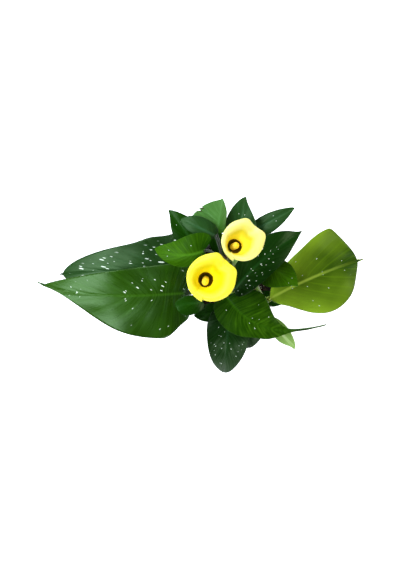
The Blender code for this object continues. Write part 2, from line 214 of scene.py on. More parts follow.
LEAVES = [
    Leaf("left_big", (-72, -20, 160), (-274, -5, 130), (10, 18), (14, 34),
         (58, 0.17, 12, 0.06), (41, 0.06, 18, 0.69), 15, 9, 9, 3.2, "broad"),
    Leaf("left_rear", (-60, 27, 128), (-248, 6, 98), (14, 0), (16, 26),
         (38, 0.45, 10, 0.73), (40, 0.14, 15, 0.85), 7, 8, 8, 3.2, "blotched"),
    Leaf("left_small", (-46, 35, 205), (-109, 39, 188), (10, 8), (8, 8),
         (16, 0.39, 4, 0.57), (26, 0.12, 18, 0.56), 1, 6, 6, 2.6, "bright"),
    Leaf("left_inner", (-46, -31, 184), (-83, -35, 192), (1, 0), (6, 4),
         (16, 0.63, 3, 0.77), (11, 0.48, 3, 0.78), 1, 8, 3, 2.2, "deep"),
    Leaf("back_left", (-51, 38, 142), (-92, 93, 148), (0, 0), (8, 6),
         (17, 0.44, 6, 0.30), (20, 0.39, 6, 0.58), 1, 10, 3, 2.4, "deep"),
    Leaf("back_inner", (-31, 57, 186), (-75, 78, 184), (0, 0), (6, 6),
         (11, 0.50, 4, 0.8), (15, 0.42, 6, 0.7), 1, 8, 3, 2.2, "dark"),
    Leaf("back_torn", (-27, 64, 180), (-20, 107, 172), (0, 0), (6, 6),
         (34, 0.30, 8, 0.45), (10, 0.45, 6, 0.6), 2, 4, 4, 2.2, "worn"),
    Leaf("centre", (-19, 34, 86), (-32, 71, 96), (0, 0), (6, 6),
         (12, 0.50, 3, 0.8), (13, 0.50, 3, 0.8), 2, 8, 3, 2.2, "deep"),
    Leaf("back_middle", (6, 41, 150), (12, 110, 160), (6, 4), (8, 6),
         (22, 0.31, 3, 0.71), (24, 0.33, 3, 0.35), 1, 10, 3, 2.4, "dark"),
    Leaf("back_right", (15, 58, 132), (79, 96, 150), (3, 1), (8, 6),
         (12, 0.39, 3, 0.65), (15, 0.41, 3, 0.57), 2, 10, 3, 2.4, "dark"),
    Leaf("right_long", (-2, -12, 182), (88, 64, 164), (8, 5), (20, 22),
         (24, 0.52, 12, 0.39), (22, 0.30, 13, 0.51), 5, 9, 5, 3.2, "flecked"),
    Leaf("right_pale", (46, -28, 136), (181, 28, 105), (6, 6), (14, 22),
         (57, 0.72, -16, 0.5), (54, 0.50, -14, 0.75), 14, 7, 6, 3.2, "pale"),
    Leaf("right_small", (34, 22, 158), (82, -10, 166), (2, -1), (10, 6),
         (18, 0.54, 4, 0.56), (26, 0.33, 4, 0.25), 1, 8, 3, 2.4, "bright"),
    Leaf("right_low", (36, -24, 80), (72, -35, 76), (0, 0), (6, 4),
         (11, 0.45, 3, 0.5), (11, 0.45, 3, 0.5), 2, 8, 3, 2.2, "deep"),
    Leaf("front_tailed", (-14, -25, 150), (126, -64, 120), (-40, -28), (12, 14),
         (40, 0.22, 0, 0.0), (30, 0.16, 8, 0.2), 48, 8, 6, 3.2, "streaked"),
    Leaf("front_broad", (-12, -44, 122), (-16, -135, 70), (3, 2), (18, 30),
         (31, 0.25, 8, 0.79), (29, 0.25, 8, 0.75), 2, 8, 5, 3.0, "glossy"),
    Leaf("front_low", (22, -53, 106), (18, -100, 78), (0, 2), (8, 10),
         (18, 0.41, 3, 0.69), (11, 0.44, 3, 0.39), 3, 8, 3, 2.2, "glossy"),
    Leaf("front_pale", (46, -56, 118), (84, -99, 104), (0, 0), (6, 6),
         (12, 0.40, 2, 0.7), (11, 0.45, 2, 0.2), 2, 10, 2, 2.2, "young"),
    Leaf("front_left", (-21, -46, 114), (-58, -52, 112), (0, 0), (6, 4),
         (12, 0.43, 3, 0.63), (14, 0.40, 3, 0.2), 1, 8, 3, 2.2, "deep"),
]


class Flower(NamedTuple):
    """One flower: its foot, the stem's lean there, the headings of its wide side and its tip, the
    mouth's reach ahead, beside and behind the throat, and the height of the hood."""

    name: str
    base: tuple
    lean: tuple
    heading: float
    tip_heading: float
    reach: tuple
    height: float


FLOWERS = [
    Flower("front", (-42, -1, 238), (-0.02, -0.05), 22, 42, (38, 28, 22), 56),
    Flower("rear", (-8, 39, 232), (0.04, 0.0), 34, 44, (37, 23, 15), 52),
]


def placed(plan):
    """A place of the lists, in the pot's frame, in metres."""
    return Vector((plan[0] * MM, plan[1] * MM, SOIL_TOP + plan[2] * MM))


def bezier(corners, share):
    """The point at that share of a Bezier curve, of any number of corners."""
    while len(corners) > 1:
        corners = [a.lerp(b, share) for a, b in zip(corners, corners[1:])]
    return corners[0]


def smooth(value, low, high):
    """0 below low, 1 above high, and a smooth ramp between."""
    t = min(max((value - low) / (high - low), 0.0), 1.0)
    return t * t * (3 - 2 * t)


def box_gap(piece, node):
    """How far, in millimetres, a piece's box is from its solid's box at the corner that is worst."""
    low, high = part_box(node)
    corners = [v.co for v in piece.data.vertices]
    mine = [f(c[axis] for c in corners) for f in (min, max) for axis in range(3)]
    theirs = [*low, *high]
    return max(abs(a - b) for a, b in zip(mine, theirs)) / MM

# %% [markdown]
# ## Leaf tissue
#
# A calla leaf is living tissue under a skin of wax. The wax gives it a satin shine with an index of
# refraction near 1.45, and the green below it varies: fresher between the veins, deeper along them.
# Many hybrids carry white windows, where the tissue holds air and no green. They lie between the side
# veins and are stretched along them, so the pattern is a cell texture in coordinates that are turned to
# the veins. Each leaf carries two flat maps for this: one in metres, and one of vein number and place
# along the vein. The underside is a second, paler material.


# %% Leaf tissue
class Tissue(NamedTuple):
    """The look of one kind of leaf: its greens, its veins, its white windows and its shine."""

    deep: str
    fresh: str
    vein: str
    rib: str
    vein_strength: float
    rib_strength: float
    windows: float
    window_length: float
    window_angle: float
    streaks: float
    roughness: float
    shine: float
    slot: str


TISSUES = {
    "broad": Tissue(
        "#081E00", "#264C00", "#336006", "#3C6C0E",
        0.12, 0.30, 0.15, 8.0, 32, 0.28, 0.27, 0.46, "leaf_dark",
    ),
    "blotched": Tissue(
        "#0D2206", "#1E3E12", "#284E2A", "#30563A",
        0.12, 0.20, 0.72, 12.0, 14, 0.25, 0.30, 0.32, "leaf_dark",
    ),
    "bright": Tissue(
        "#0E3000", "#2E5600", "#4C7E0E", "#558E1C",
        0.16, 0.35, 0.07, 5.0, 32, 0.45, 0.40, 0.08, "leaf_bright",
    ),
    "deep": Tissue(
        "#072000", "#143A02", "#204C10", "#24501A",
        0.15, 0.35, 0.06, 5.0, 32, 0.25, 0.30, 0.15, "leaf_dark",
    ),
    "dark": Tissue(
        "#0D2208", "#224418", "#2C522E", "#38603E",
        0.15, 0.45, 0.06, 5.0, 32, 0.30, 0.32, 0.22, "leaf_dark",
    ),
    "flecked": Tissue(
        "#041600", "#123408", "#224A14", "#245222",
        0.14, 0.35, 0.36, 5.5, 34, 0.20, 0.30, 0.12, "leaf_dark",
    ),
    "pale": Tissue(
        "#86A826", "#203E00", "#729A12", "#A4BE44",
        0.12, 0.75, 0.05, 6.0, 32, 0.16, 0.34, 0.08, "leaf_pale",
    ),
    "streaked": Tissue(
        "#0A2600", "#1E4200", "#44700C", "#346408",
        0.10, 0.30, 0.09, 5.0, 32, 0.70, 0.32, 0.15, "leaf_dark",
    ),
    "glossy": Tissue(
        "#071A03", "#14320A", "#224618", "#284E2C",
        0.14, 0.25, 0.24, 5.0, 32, 0.20, 0.28, 0.18, "leaf_dark",
    ),
    "young": Tissue(
        "#608634", "#88AE56", "#A4C678", "#D2E6A8",
        0.20, 0.90, 0.0, 4.0, 32, 0.25, 0.34, 0.30, "leaf_pale",
    ),
    "worn": Tissue(
        "#28560A", "#487434", "#568644", "#5A8C4A",
        0.20, 0.20, 0.04, 5.0, 32, 0.45, 0.34, 0.30, "leaf_worn",
    ),
}

# Side veins to a half, how strongly they sweep towards the tip, and how they curve on the way.
VEINS_BROAD = 13
VEINS_NARROW = 8
VEIN_SWEEP = 2.8
VEIN_CURVE = 1.25
BROAD_WIDTH = 20
WINDOW_SPACING = 0.0065
TONE_PATCH = 0.035
WAX_TINT = colour("#CCF4B8")
SKIN_CELL = 0.0009

# %% [markdown]
# ## Greens
#
# A leaf could have one green with a noise over it, but its fresh tissue lies between the side veins. So
# patches a few centimetres wide set the tone, and streaks in the vein map's own coordinates carry it
# along the veins.


# %% Greens
def leaf_greens(material, tissue, veins, place, lines, split_lines):
    """The green tissue, and the streaks in it, which the wax follows too."""
    # The green varies over patches a few centimetres wide, and it deepens towards the stalk.
    # That deepening is painted shade, for the shade under the canopy.
    patches = add_node(
        material, "ShaderNodeTexNoise", {"Vector": place, "Scale": 1 / TONE_PATCH, "Detail": 1.0}
    )
    base_shade = add_node(
        material, "ShaderNodeMath", {0: split_lines.outputs["X"], 1: 0.9, 2: -0.45}, operation="MULTIPLY_ADD"
    )
    blended = add_node(
        material, "ShaderNodeMath",
        {0: patches.outputs["Fac"], 1: 0.4, 2: base_shade.outputs[0]}, operation="MULTIPLY_ADD"
    )
    tone = add_node(
        material, "ShaderNodeMapRange", {"Value": blended.outputs[0], "From Min": -0.1, "From Max": 0.5}
    )
    green = add_node(
        material, "ShaderNodeMix",
        {0: tone.outputs[0], MIX_A: colour(tissue.deep), MIX_B: colour(tissue.fresh)},
        data_type="RGBA",
    )

    # Streaks run along the side veins, a few to each gap between two veins.
    along_veins = add_node(
        material, "ShaderNodeVectorMath", {0: lines, 1: (veins * 4.0, 1.2, 1.0)}, operation="MULTIPLY"
    )
    streaks = add_node(
        material, "ShaderNodeTexNoise", {"Vector": along_veins.outputs[0], "Scale": 1.0, "Detail": 3.0}
    )
    streak_tone = add_node(
        material, "ShaderNodeMapRange",
        {"Value": streaks.outputs["Fac"], "From Min": 0.42, "From Max": 0.72, "To Max": tissue.streaks},
    )
    fresh_streak = add_node(
        material, "ShaderNodeMath", {0: streak_tone.outputs[0], 1: tone.outputs[0]}, operation="MULTIPLY"
    )
    streaked = add_node(
        material, "ShaderNodeMix",
        {0: fresh_streak.outputs[0], MIX_A: green.outputs[MIX_RESULT], MIX_B: colour(tissue.vein)},
        data_type="RGBA",
    )
    return streaked, streaks


# %% [markdown]
# ## Veins
#
# The vein map counts the veins, so a cosine of it peaks at every one. The midrib is where the flat map's
# second number, the distance from the middle, is near nothing.


# %% Veins
def leaf_veins(material, tissue, veins, green, split_flat, split_lines):
    """The veins and the midrib over the green, and the distance from the midrib."""
    # A vein is a thin line at every whole number of the vein map.
    turn = add_node(
        material, "ShaderNodeMath", {0: split_lines.outputs["X"], 1: veins * math.tau}, operation="MULTIPLY"
    )
    wave = add_node(material, "ShaderNodeMath", {0: turn.outputs[0]}, operation="COSINE")
    line = add_node(
        material, "ShaderNodeMapRange",
        {"Value": wave.outputs[0], "From Min": 0.80, "From Max": 1.0, "To Max": tissue.vein_strength},
    )
    veined = add_node(
        material, "ShaderNodeMix",
        {0: line.outputs[0], MIX_A: green.outputs[MIX_RESULT], MIX_B: colour(tissue.vein)},
        data_type="RGBA",
    )

    # The midrib is a paler stripe that fades towards the tip.
    aside = add_node(material, "ShaderNodeMath", {0: split_flat.outputs["Y"]}, operation="ABSOLUTE")
    near_rib = add_node(
        material, "ShaderNodeMapRange",
        {"Value": aside.outputs[0], "From Min": 0.0026, "From Max": 0.0006, "To Max": tissue.rib_strength},
    )
    towards_stalk = add_node(
        material, "ShaderNodeMapRange",
        {"Value": split_lines.outputs["X"], "From Min": 0.95, "From Max": 0.70}
    )
    rib_stripe = add_node(
        material, "ShaderNodeMath",
        {0: near_rib.outputs[0], 1: towards_stalk.outputs[0]}, operation="MULTIPLY"
    )
    ribbed = add_node(
        material, "ShaderNodeMix",
        {0: rib_stripe.outputs[0], MIX_A: veined.outputs[MIX_RESULT], MIX_B: colour(tissue.rib)},
        data_type="RGBA",
    )
    return ribbed, aside


# %% [markdown]
# ## White windows
#
# Voronoi cells scatter the windows without letting them touch. Each cell has its own random colour: one
# channel decides whether it holds a window, and another how large that is.


# %% White windows
def leaf_windows(material, tissue, aside, flat, split_flat, split_lines):
    """Where the windows are: 1 inside one, 0 outside."""
    # White windows: one cell in a few holds one, and they gather in loose groups.
    folded = add_node(
        material, "ShaderNodeCombineXYZ", {"X": split_flat.outputs["X"], "Y": aside.outputs[0]}
    )
    turned = add_node(
        material, "ShaderNodeVectorRotate",
        {"Vector": folded.outputs[0], "Axis": (0, 0, 1), "Angle": -math.radians(tissue.window_angle)},
        rotation_type="AXIS_ANGLE",
    )
    stretch = 1 / (tissue.window_length * MM)
    cells_place = add_node(
        material, "ShaderNodeVectorMath",
        {0: turned.outputs[0], 1: (0.6 * stretch, 1.4 / WINDOW_SPACING, 1.0)}, operation="MULTIPLY",
    )
    cells = add_node(
        material, "ShaderNodeTexVoronoi", {"Vector": cells_place.outputs[0], "Scale": 1.0, "Randomness": 1.0},
        voronoi_dimensions="2D",
    )
    chance = add_node(material, "ShaderNodeSeparateColor", {"Color": cells.outputs["Color"]})
    groups = add_node(material, "ShaderNodeTexNoise", {"Vector": flat, "Scale": 24.0, "Detail": 1.0})
    share = add_node(
        material, "ShaderNodeMapRange",
        {"Value": groups.outputs["Fac"], "From Min": 0.40, "From Max": 0.62, "To Max": tissue.windows * 2.2},
    )
    chosen = add_node(
        material, "ShaderNodeMath", {0: chance.outputs["Red"], 1: share.outputs[0]}, operation="LESS_THAN"
    )
    size = add_node(
        material, "ShaderNodeMapRange",
        {"Value": chance.outputs["Green"], "To Min": 0.07, "To Max": 0.09 + 0.012 * tissue.window_length},
    )
    inside = add_node(
        material, "ShaderNodeMath", {0: size.outputs[0], 1: cells.outputs["Distance"]}, operation="SUBTRACT"
    )
    soft_edge = add_node(
        material, "ShaderNodeMapRange", {"Value": inside.outputs[0], "From Min": 0.0, "From Max": 0.05}
    )
    off_edge = add_node(
        material, "ShaderNodeMapRange",
        {"Value": split_lines.outputs["Y"], "From Min": 0.86, "From Max": 0.74}
    )
    kept = add_node(
        material, "ShaderNodeMath", {0: off_edge.outputs[0], 1: chosen.outputs[0]}, operation="MULTIPLY"
    )
    window = add_node(
        material, "ShaderNodeMath", {0: soft_edge.outputs[0], 1: kept.outputs[0]}, operation="MULTIPLY"
    )
    return window


# %% [markdown]
# ## Both sides of a leaf
#
# The upper side puts those layers together, and adds the drip tip's painted shade, the scorched edge of
# the torn leaf and the wax. The underside has only its paler green, its veins and the scorch.


# %% Both sides of a leaf
def leaf_skin(name, tissue, veins):
    """The upper side of a leaf: waxed green tissue with paler veins and white windows."""
    material, shader = new_material(name, tissue.roughness, ior=1.45, specular_ior_level=tissue.shine)
    shader.inputs["Specular Tint"].default_value = WAX_TINT
    place = add_node(material, "ShaderNodeTexCoord").outputs["Object"]
    flat = add_node(material, "ShaderNodeUVMap", uv_map="flat").outputs["UV"]
    lines = add_node(material, "ShaderNodeUVMap", uv_map="veins").outputs["UV"]
    split_flat = add_node(material, "ShaderNodeSeparateXYZ", {"Vector": flat})
    split_lines = add_node(material, "ShaderNodeSeparateXYZ", {"Vector": lines})

    green, streaks = leaf_greens(material, tissue, veins, place, lines, split_lines)
    ribbed, aside = leaf_veins(material, tissue, veins, green, split_flat, split_lines)
    window = leaf_windows(material, tissue, aside, flat, split_flat, split_lines)
    finished = add_node(
        material, "ShaderNodeMix",
        {0: window.outputs[0], MIX_A: ribbed.outputs[MIX_RESULT], MIX_B: colour("#DCE6D4")},
        data_type="RGBA",
    )
    # The drip tip is painted a dark grey-green: painted shade, for a tip that curls down into shade.
    drip_tip_shade = add_node(material, "ShaderNodeAttribute", attribute_name="tip")
    tip_shaded = add_node(
        material, "ShaderNodeMix",
        {0: drip_tip_shade.outputs["Fac"], MIX_A: finished.outputs[MIX_RESULT], MIX_B: colour("#22381A")},
        data_type="RGBA",
    )
    scorch = add_node(material, "ShaderNodeAttribute", attribute_name="scorch")
    burnt = add_node(
        material, "ShaderNodeMix",
        {0: scorch.outputs["Fac"], MIX_A: tip_shaded.outputs[MIX_RESULT], MIX_B: colour("#2E1B0C")},
        data_type="RGBA",
    )
    material.node_tree.links.new(burnt.outputs[MIX_RESULT], shader.inputs["Base Color"])

    # The wax is uneven, and the skin cells under it give a fine grain.
    wax = add_node(
        material, "ShaderNodeMapRange",
        {
            "Value": streaks.outputs["Fac"],
            "From Min": 0.3,
            "From Max": 0.7,
            "To Min": tissue.roughness - 0.05,
            "To Max": tissue.roughness + 0.08,
        },
    )
    material.node_tree.links.new(wax.outputs[0], shader.inputs["Roughness"])
    grain = add_node(material, "ShaderNodeTexNoise", {"Vector": place, "Scale": 1 / SKIN_CELL, "Detail": 1.0})
    height = add_node(
        material, "ShaderNodeMath", {0: streaks.outputs["Fac"], 1: grain.outputs["Fac"], 2: 0.0},
        operation="MULTIPLY_ADD",
    )
    relief = add_node(
        material, "ShaderNodeBump", {"Height": height.outputs[0], "Strength": 0.25, "Distance": 0.0006}
    )
    material.node_tree.links.new(relief.outputs[0], shader.inputs["Normal"])
    return material


def leaf_underside(name, tissue, veins):
    """The lower side of a leaf: paler and duller, because its skin breathes and has little wax."""
    material, shader = new_material(name, 0.6, ior=1.42)
    lines = add_node(material, "ShaderNodeUVMap", uv_map="veins").outputs["UV"]
    flat = add_node(material, "ShaderNodeUVMap", uv_map="flat").outputs["UV"]
    split_lines = add_node(material, "ShaderNodeSeparateXYZ", {"Vector": lines})
    split_flat = add_node(material, "ShaderNodeSeparateXYZ", {"Vector": flat})
    deep, fresh = colour(tissue.deep), colour(tissue.fresh)
    pale = tuple(0.45 * a + 0.55 * b + 0.02 for a, b in zip(deep[:3], fresh[:3])) + (1.0,)
    turn = add_node(
        material, "ShaderNodeMath", {0: split_lines.outputs["X"], 1: veins * math.tau}, operation="MULTIPLY"
    )
    wave = add_node(material, "ShaderNodeMath", {0: turn.outputs[0]}, operation="COSINE")
    line = add_node(
        material, "ShaderNodeMapRange",
        {"Value": wave.outputs[0], "From Min": 0.6, "From Max": 1.0, "To Max": 0.5}
    )
    aside = add_node(material, "ShaderNodeMath", {0: split_flat.outputs["Y"]}, operation="ABSOLUTE")
    near_rib = add_node(
        material, "ShaderNodeMapRange", {"Value": aside.outputs[0], "From Min": 0.003, "From Max": 0.001}
    )
    most = add_node(
        material, "ShaderNodeMath", {0: line.outputs[0], 1: near_rib.outputs[0]}, operation="MAXIMUM"
    )
    green = add_node(
        material, "ShaderNodeMix",
        {0: most.outputs[0], MIX_A: pale, MIX_B: colour(tissue.rib)}, data_type="RGBA"
    )
    scorch = add_node(material, "ShaderNodeAttribute", attribute_name="scorch")
    burnt = add_node(
        material, "ShaderNodeMix",
        {0: scorch.outputs["Fac"], MIX_A: green.outputs[MIX_RESULT], MIX_B: colour("#3A2412")},
        data_type="RGBA",
    )
    material.node_tree.links.new(burnt.outputs[MIX_RESULT], shader.inputs["Base Color"])
    return material


SKINS = {}
for kind, tissue in TISSUES.items():
    for veins in (VEINS_BROAD, VEINS_NARROW):
        SKINS[kind, veins] = (
            leaf_skin(f"waxed calla leaf, {kind}, {veins} veins", tissue, veins),
            leaf_underside(f"calla leaf underside, {kind}, {veins} veins", tissue, veins),
        )
print("leaf materials:", 2 * len(SKINS))

# %% [markdown]
# ## Meshes
#
# Every piece below is drawn as a bmesh, which is a mesh that a script can add points and faces to. Three
# helpers do what repeats: one turns a finished bmesh into an object, one joins rings of points into a
# closed skin, and one closes a thin sheet from its two faces. A Skin or Screw modifier would join rings
# too, but then a ring couldn't carry a groove, a seam or a knob of its own.


# %% Meshes
def new_object(name, shape, *materials):
    """Turns a bmesh into an object with these materials."""
    mesh = bpy.data.meshes.new(name)
    shape.to_mesh(mesh)
    shape.free()
    for material in materials:
        mesh.materials.append(material)
    made = bpy.data.objects.new(name, mesh)
    bpy.context.scene.collection.objects.link(made)
    return made


def join_rings(shape, rings, downward=False, caps=True):
    """Faces between rings of points, which run upward or downward, and a cap on each end."""
    for a, b in zip(rings, rings[1:]):
        for j in range(len(a)):
            k = (j + 1) % len(a)
            shape.faces.new((a[j], b[j], b[k], a[k]) if downward else (a[j], a[k], b[k], b[j]))
    if caps:
        bottom, top = (rings[-1], rings[0]) if downward else (rings[0], rings[-1])
        for cap in ((top, bottom[::-1]) if downward else (bottom[::-1], top)):
            shape.faces.new(cap)


def close_sheet(shape, flat_map, outside, inside):
    """Joins the two faces of a thin sheet, and closes its four edges. Each spot of a face is a vertex
    and its place on the flat map."""

    def patch(*corners):
        face = shape.faces.new([vertex for vertex, _ in corners])
        face.smooth = True
        for loop, (_, flat) in zip(face.loops, corners):
            loop[flat_map].uv = flat

    rows, turns = len(outside) - 1, len(outside[0]) - 1
    for i in range(rows):
        for j in range(turns):
            patch(outside[i][j], outside[i][j + 1], outside[i + 1][j + 1], outside[i + 1][j])
            patch(inside[i + 1][j], inside[i + 1][j + 1], inside[i][j + 1], inside[i][j])
    for j in range(turns):
        patch(outside[-1][j], outside[-1][j + 1], inside[-1][j + 1], inside[-1][j])
        patch(inside[0][j], inside[0][j + 1], outside[0][j + 1], outside[0][j])
    for i in range(rows):
        patch(outside[i + 1][0], inside[i + 1][0], inside[i][0], outside[i][0])
        patch(outside[i][-1], inside[i][-1], inside[i + 1][-1], outside[i + 1][-1])


def print_gap(piece, node):
    """Says how far a piece's box is from the box of the solid that it stands for."""
    print(piece.name, "is within", round(box_gap(piece, node), 1), "mm of its solid's box")


# %% [markdown]
# ## Leaf blades
#
# A blade could be a flat shape with a bent armature, but a leaf's form follows its veins: they start at
# the stalk, sweep out to the edge and run towards the tip. So the grid is laid along the veins. One
# direction counts them and the other runs from the midrib to the edge. The midrib is a curve in space,
# and every grid point is set off from it, with a fold along the rib, a droop towards the edge, a sunken
# line at each vein, and a slow wave that grows towards the edge. Solidify then gives the sheet its
# flesh, thick at the rib and thin as card at the edge.


# %% Leaf blades
class Midrib:
    """The curve that a leaf is built along, walked by length from the stalk."""

    STEPS = 60

    def __init__(self, leaf):
        base, tip = placed(leaf.base), placed(leaf.tip)
        ahead = tip - base
        left = UP.cross(ahead).normalized()
        near = base + ahead / 3 + left * leaf.bow[0] * MM + UP * leaf.arch[0] * MM
        far = tip - ahead / 3 + left * leaf.bow[1] * MM + UP * leaf.arch[1] * MM
        corners = [base, near, far, tip]
        self.points = [bezier(corners, i / self.STEPS) for i in range(self.STEPS + 1)]
        self.along = [0.0]
        for a, b in zip(self.points, self.points[1:]):
            self.along.append(self.along[-1] + (b - a).length)
        self.length = self.along[-1]

    def frame(self, distance):
        """The point, and the forward, left and up directions, at a distance from the stalk."""
        inside = min(max(distance, 0.0), self.length)
        i = min(max(bisect_right(self.along, inside), 1), self.STEPS)
        share = (inside - self.along[i - 1]) / (self.along[i] - self.along[i - 1])
        before = (self.points[i] - self.points[i - 1]).normalized()
        last = min(i + 1, self.STEPS)
        after = (self.points[last] - self.points[last - 1]).normalized()
        forward = before.lerp(after, share).normalized()
        point = self.points[i - 1].lerp(self.points[i], share) + forward * (distance - inside)
        left = UP.cross(forward).normalized()
        return point, forward, left, forward.cross(left)


def margin(half, tail, length, share):
    """A point of one half's edge, laid flat: the distance along the midrib and out from it.
    The edge leaves the stalk backwards, round a lobe, and comes forward along the flank to the tail."""
    width, widest, lobe, full = half[0] * MM, half[1] * length, half[2] * MM, half[3]
    end, thin = length - tail * MM, TAIL_WIDTH / 2
    flank = end - widest
    if share < 0.45:
        corners = [(0, 0), (-1.6 * lobe, 0.40 * width), (0.35 * widest - 1.1 * lobe, width), (widest, width)]
        share = share / 0.45
    elif share < 0.9:
        turn = thin + full * (0.62 * width - thin)
        before_tail = (end - 0.42 * (1 - full) * flank, turn)
        corners = [(widest, width), (widest + 0.45 * flank, width), before_tail, (end, thin)]
        share = (share - 0.45) / 0.45
    else:
        corners = [(end, thin), (length, 0)]
        share = (share - 0.9) / 0.1
    return bezier([Vector(c) for c in corners], share)


# Where an edge leaves its plain outline: the half (left 1, right -1), the share along the edge, how far
# out in millimetres, and over what share it fades.
EDGE_ACCENTS = {
    "left_rear": [(-1, 0.40, 2.5, 0.06), (-1, 0.505, 3.5, 0.04)],
    "left_big": [(1, 0.42, 2.0, 0.05), (1, 0.30, -5.0, 0.07)],
    "right_pale": [(1, 0.31, -6.0, 0.10), (1, 0.56, -3.0, 0.09), (1, 0.06, 4.0, 0.07), (-1, 0.06, 4.0, 0.07)],
    "back_torn": [(1, 0.42, 2.5, 0.04), (-1, 0.22, 4.0, 0.12)],
    "back_middle": [(1, 0.18, 3.0, 0.10)],
    "right_long": [(-1, 0.62, 2.0, 0.10)],
    "front_tailed": [(-1, 0.60, -4.0, 0.07)],
}
# Bites out of the torn leaf's left edge: the share along the edge, the depth in mm, and the half breadth.
BITES = [(0.565, 4.5, 0.020), (0.615, 2.5, 0.012), (0.525, 2.0, 0.008)]


def accented(leaf, side, share):
    """How far an edge stands out from its plain outline at a share of its length, in metres."""
    out = 0.0
    for half, centre, amount, breadth in EDGE_ACCENTS.get(leaf.name, []):
        if half == side:
            out += amount * MM * math.exp(-(((share - centre) / breadth) ** 2))
    return out


def bitten(leaf, side, share):
    """How deep the torn leaf's edge is bitten at a share of its length, in metres."""
    if leaf.name != "back_torn" or side < 0:
        return 0.0
    ragged = 1 + 0.5 * noise.noise(Vector((share * 160, 0.3, 0.7)))
    return max(
        depth * MM * ragged * (1 - smooth(abs(share - centre), 0.5 * breadth, breadth))
        for centre, depth, breadth in BITES
    )


def blade_point(leaf, rib, side, share, out, veins):
    """A point of the blade's upper side, and where it lies flat: along the midrib and out from it."""
    half = leaf.left if side > 0 else leaf.right
    width = half[0] * MM
    root = rib.length * share**VEIN_SWEEP
    edge = margin(half, leaf.tail, rib.length, share)
    reach = edge.y + accented(leaf, side, share) * smooth(edge.y, 0, 0.1 * width)
    along = root + (edge.x - root) * out**VEIN_CURVE
    across = max(reach - bitten(leaf, side, share), 0.0) * out
    point, _, left, up = rib.frame(along)
    fold = math.radians(leaf.fold)
    height = across * math.sin(fold) - leaf.droop * MM * (across / width) ** 2

    seed = len(leaf.name) + leaf.base[0]
    size = width / (40 * MM)
    sunk_vein = (0.5 + 0.5 * math.cos(math.tau * veins * share)) ** 3
    height -= 0.26 * MM * min(size, 1.0) * sunk_vein * smooth(out, 0.02, 0.2) * (1 - out**4)
    height -= 0.5 * MM * math.exp(-((across / (1.2 * MM)) ** 2)) * (1 - 0.7 * share)
    swell = noise.noise(Vector((along * 22, side * across * 22, seed)))
    height += 2.8 * MM * size * swell * smooth(across, 0, 0.5 * width)
    ruffle = math.sin(math.tau * 2.6 * share + seed + side)
    height += 1.5 * MM * size * ruffle * out**3 * smooth(share, 0.05, 0.3) * (1 - smooth(share, 0.85, 1.0))
    top = LEAF_HALF_THICKNESS
    return point + left * side * across * math.cos(fold) + up * (height + top), along, across


LEAF_HALF_THICKNESS = 0.0003
RIB_THICKNESS = 0.0026
EDGE_SHARE = 0.2


def make_blade(leaf):
    """One leaf blade, standing for its plain solid."""
    rib = Midrib(leaf)
    broad = max(leaf.left[0], leaf.right[0]) > BROAD_WIDTH
    rows, columns = (92, 22) if broad else (52, 13)
    veins = VEINS_BROAD if broad else VEINS_NARROW
    shape = bmesh.new()
    bmesh.ops.create_grid(shape, x_segments=rows, y_segments=2 * columns, size=1)
    flat_map = shape.loops.layers.uv.new("flat")
    vein_map = shape.loops.layers.uv.new("veins")
    scorch = shape.verts.layers.float.new("scorch")
    tip = shape.verts.layers.float.new("tip")
    body = shape.verts.layers.deform.verify()
    flat = {}
    for vertex in shape.verts:
        share, out = (vertex.co.x + 1) / 2, abs(vertex.co.y)
        side = math.copysign(1, vertex.co.y)
        vertex.co, along, across = blade_point(leaf, rib, side, share, out, veins)
        flat[vertex] = (along, side * across, share, side * out)
        near_rib = math.exp(-((across / (2.0 * MM)) ** 2)) * (1 - 0.8 * along / rib.length)
        vertex[body][0] = min(max(near_rib, 0.0), 1.0)
        bite = bitten(leaf, side, share)
        vertex[scorch] = smooth(bite, 0.4 * MM, 2 * MM) * smooth(out, 0.86, 0.97)
        # The tip layer masks the drip tip for its painted shade.
        tail_start = rib.length - leaf.tail * MM
        vertex[tip] = 0.9 * smooth(along, tail_start - 4 * MM, tail_start + 4 * MM) if leaf.tail > 4 else 0.0
    for face in shape.faces:
        for loop in face.loops:
            along, across, share, out = flat[loop.vert]
            loop[flat_map].uv = (along, across)
            loop[vein_map].uv = (share, abs(out))
    bmesh.ops.remove_doubles(shape, verts=shape.verts, dist=0.00002)
    bmesh.ops.recalc_face_normals(shape, faces=shape.faces)
    shape.faces.ensure_lookup_table()
    facing_up = sum(face.normal.z * face.calc_area() for face in shape.faces)
    if facing_up < 0:
        bmesh.ops.reverse_faces(shape, faces=shape.faces)
    blade = new_object("blade_" + leaf.name, shape, *SKINS[leaf.tissue, veins])
    blade.vertex_groups.new(name="flesh")
    solid = blade.modifiers.new("flesh", "SOLIDIFY")
    solid.thickness = RIB_THICKNESS
    solid.offset = -1
    solid.vertex_group = "flesh"
    solid.thickness_vertex_group = EDGE_SHARE
    solid.material_offset = 1
    solid.material_offset_rim = 1
    blade.data.shade_smooth()
    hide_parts("leaf_" + leaf.name)
    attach(blade, "root")
    return blade


gaps = {leaf.name: round(box_gap(make_blade(leaf), "leaf_" + leaf.name), 1) for leaf in LEAVES}
print("blades made:", len(gaps), "and the worst box difference is", max(gaps.values()), "mm")

# %% [markdown]
# ## Stalk tissue
#
# A calla's stalk is a soft, round stem with a groove along its upper side, and it doesn't stop at the
# blade: it runs on under it as the midrib, and thins out towards the tip. A bevelled curve would give a
# plain tube. Here rings of points are placed along one smooth route, so the groove, the swelling at the
# shoot and the long taper under the blade are all one surface. The stalk is whitish where it was
# wrapped in the shoot, and grass green above, but the plain stalks are painted a near-black green
# towards the blade: painted shade, for the shade under the leaves.

# %% Stalk tissue
FIBRE_WIDTH = 0.0011


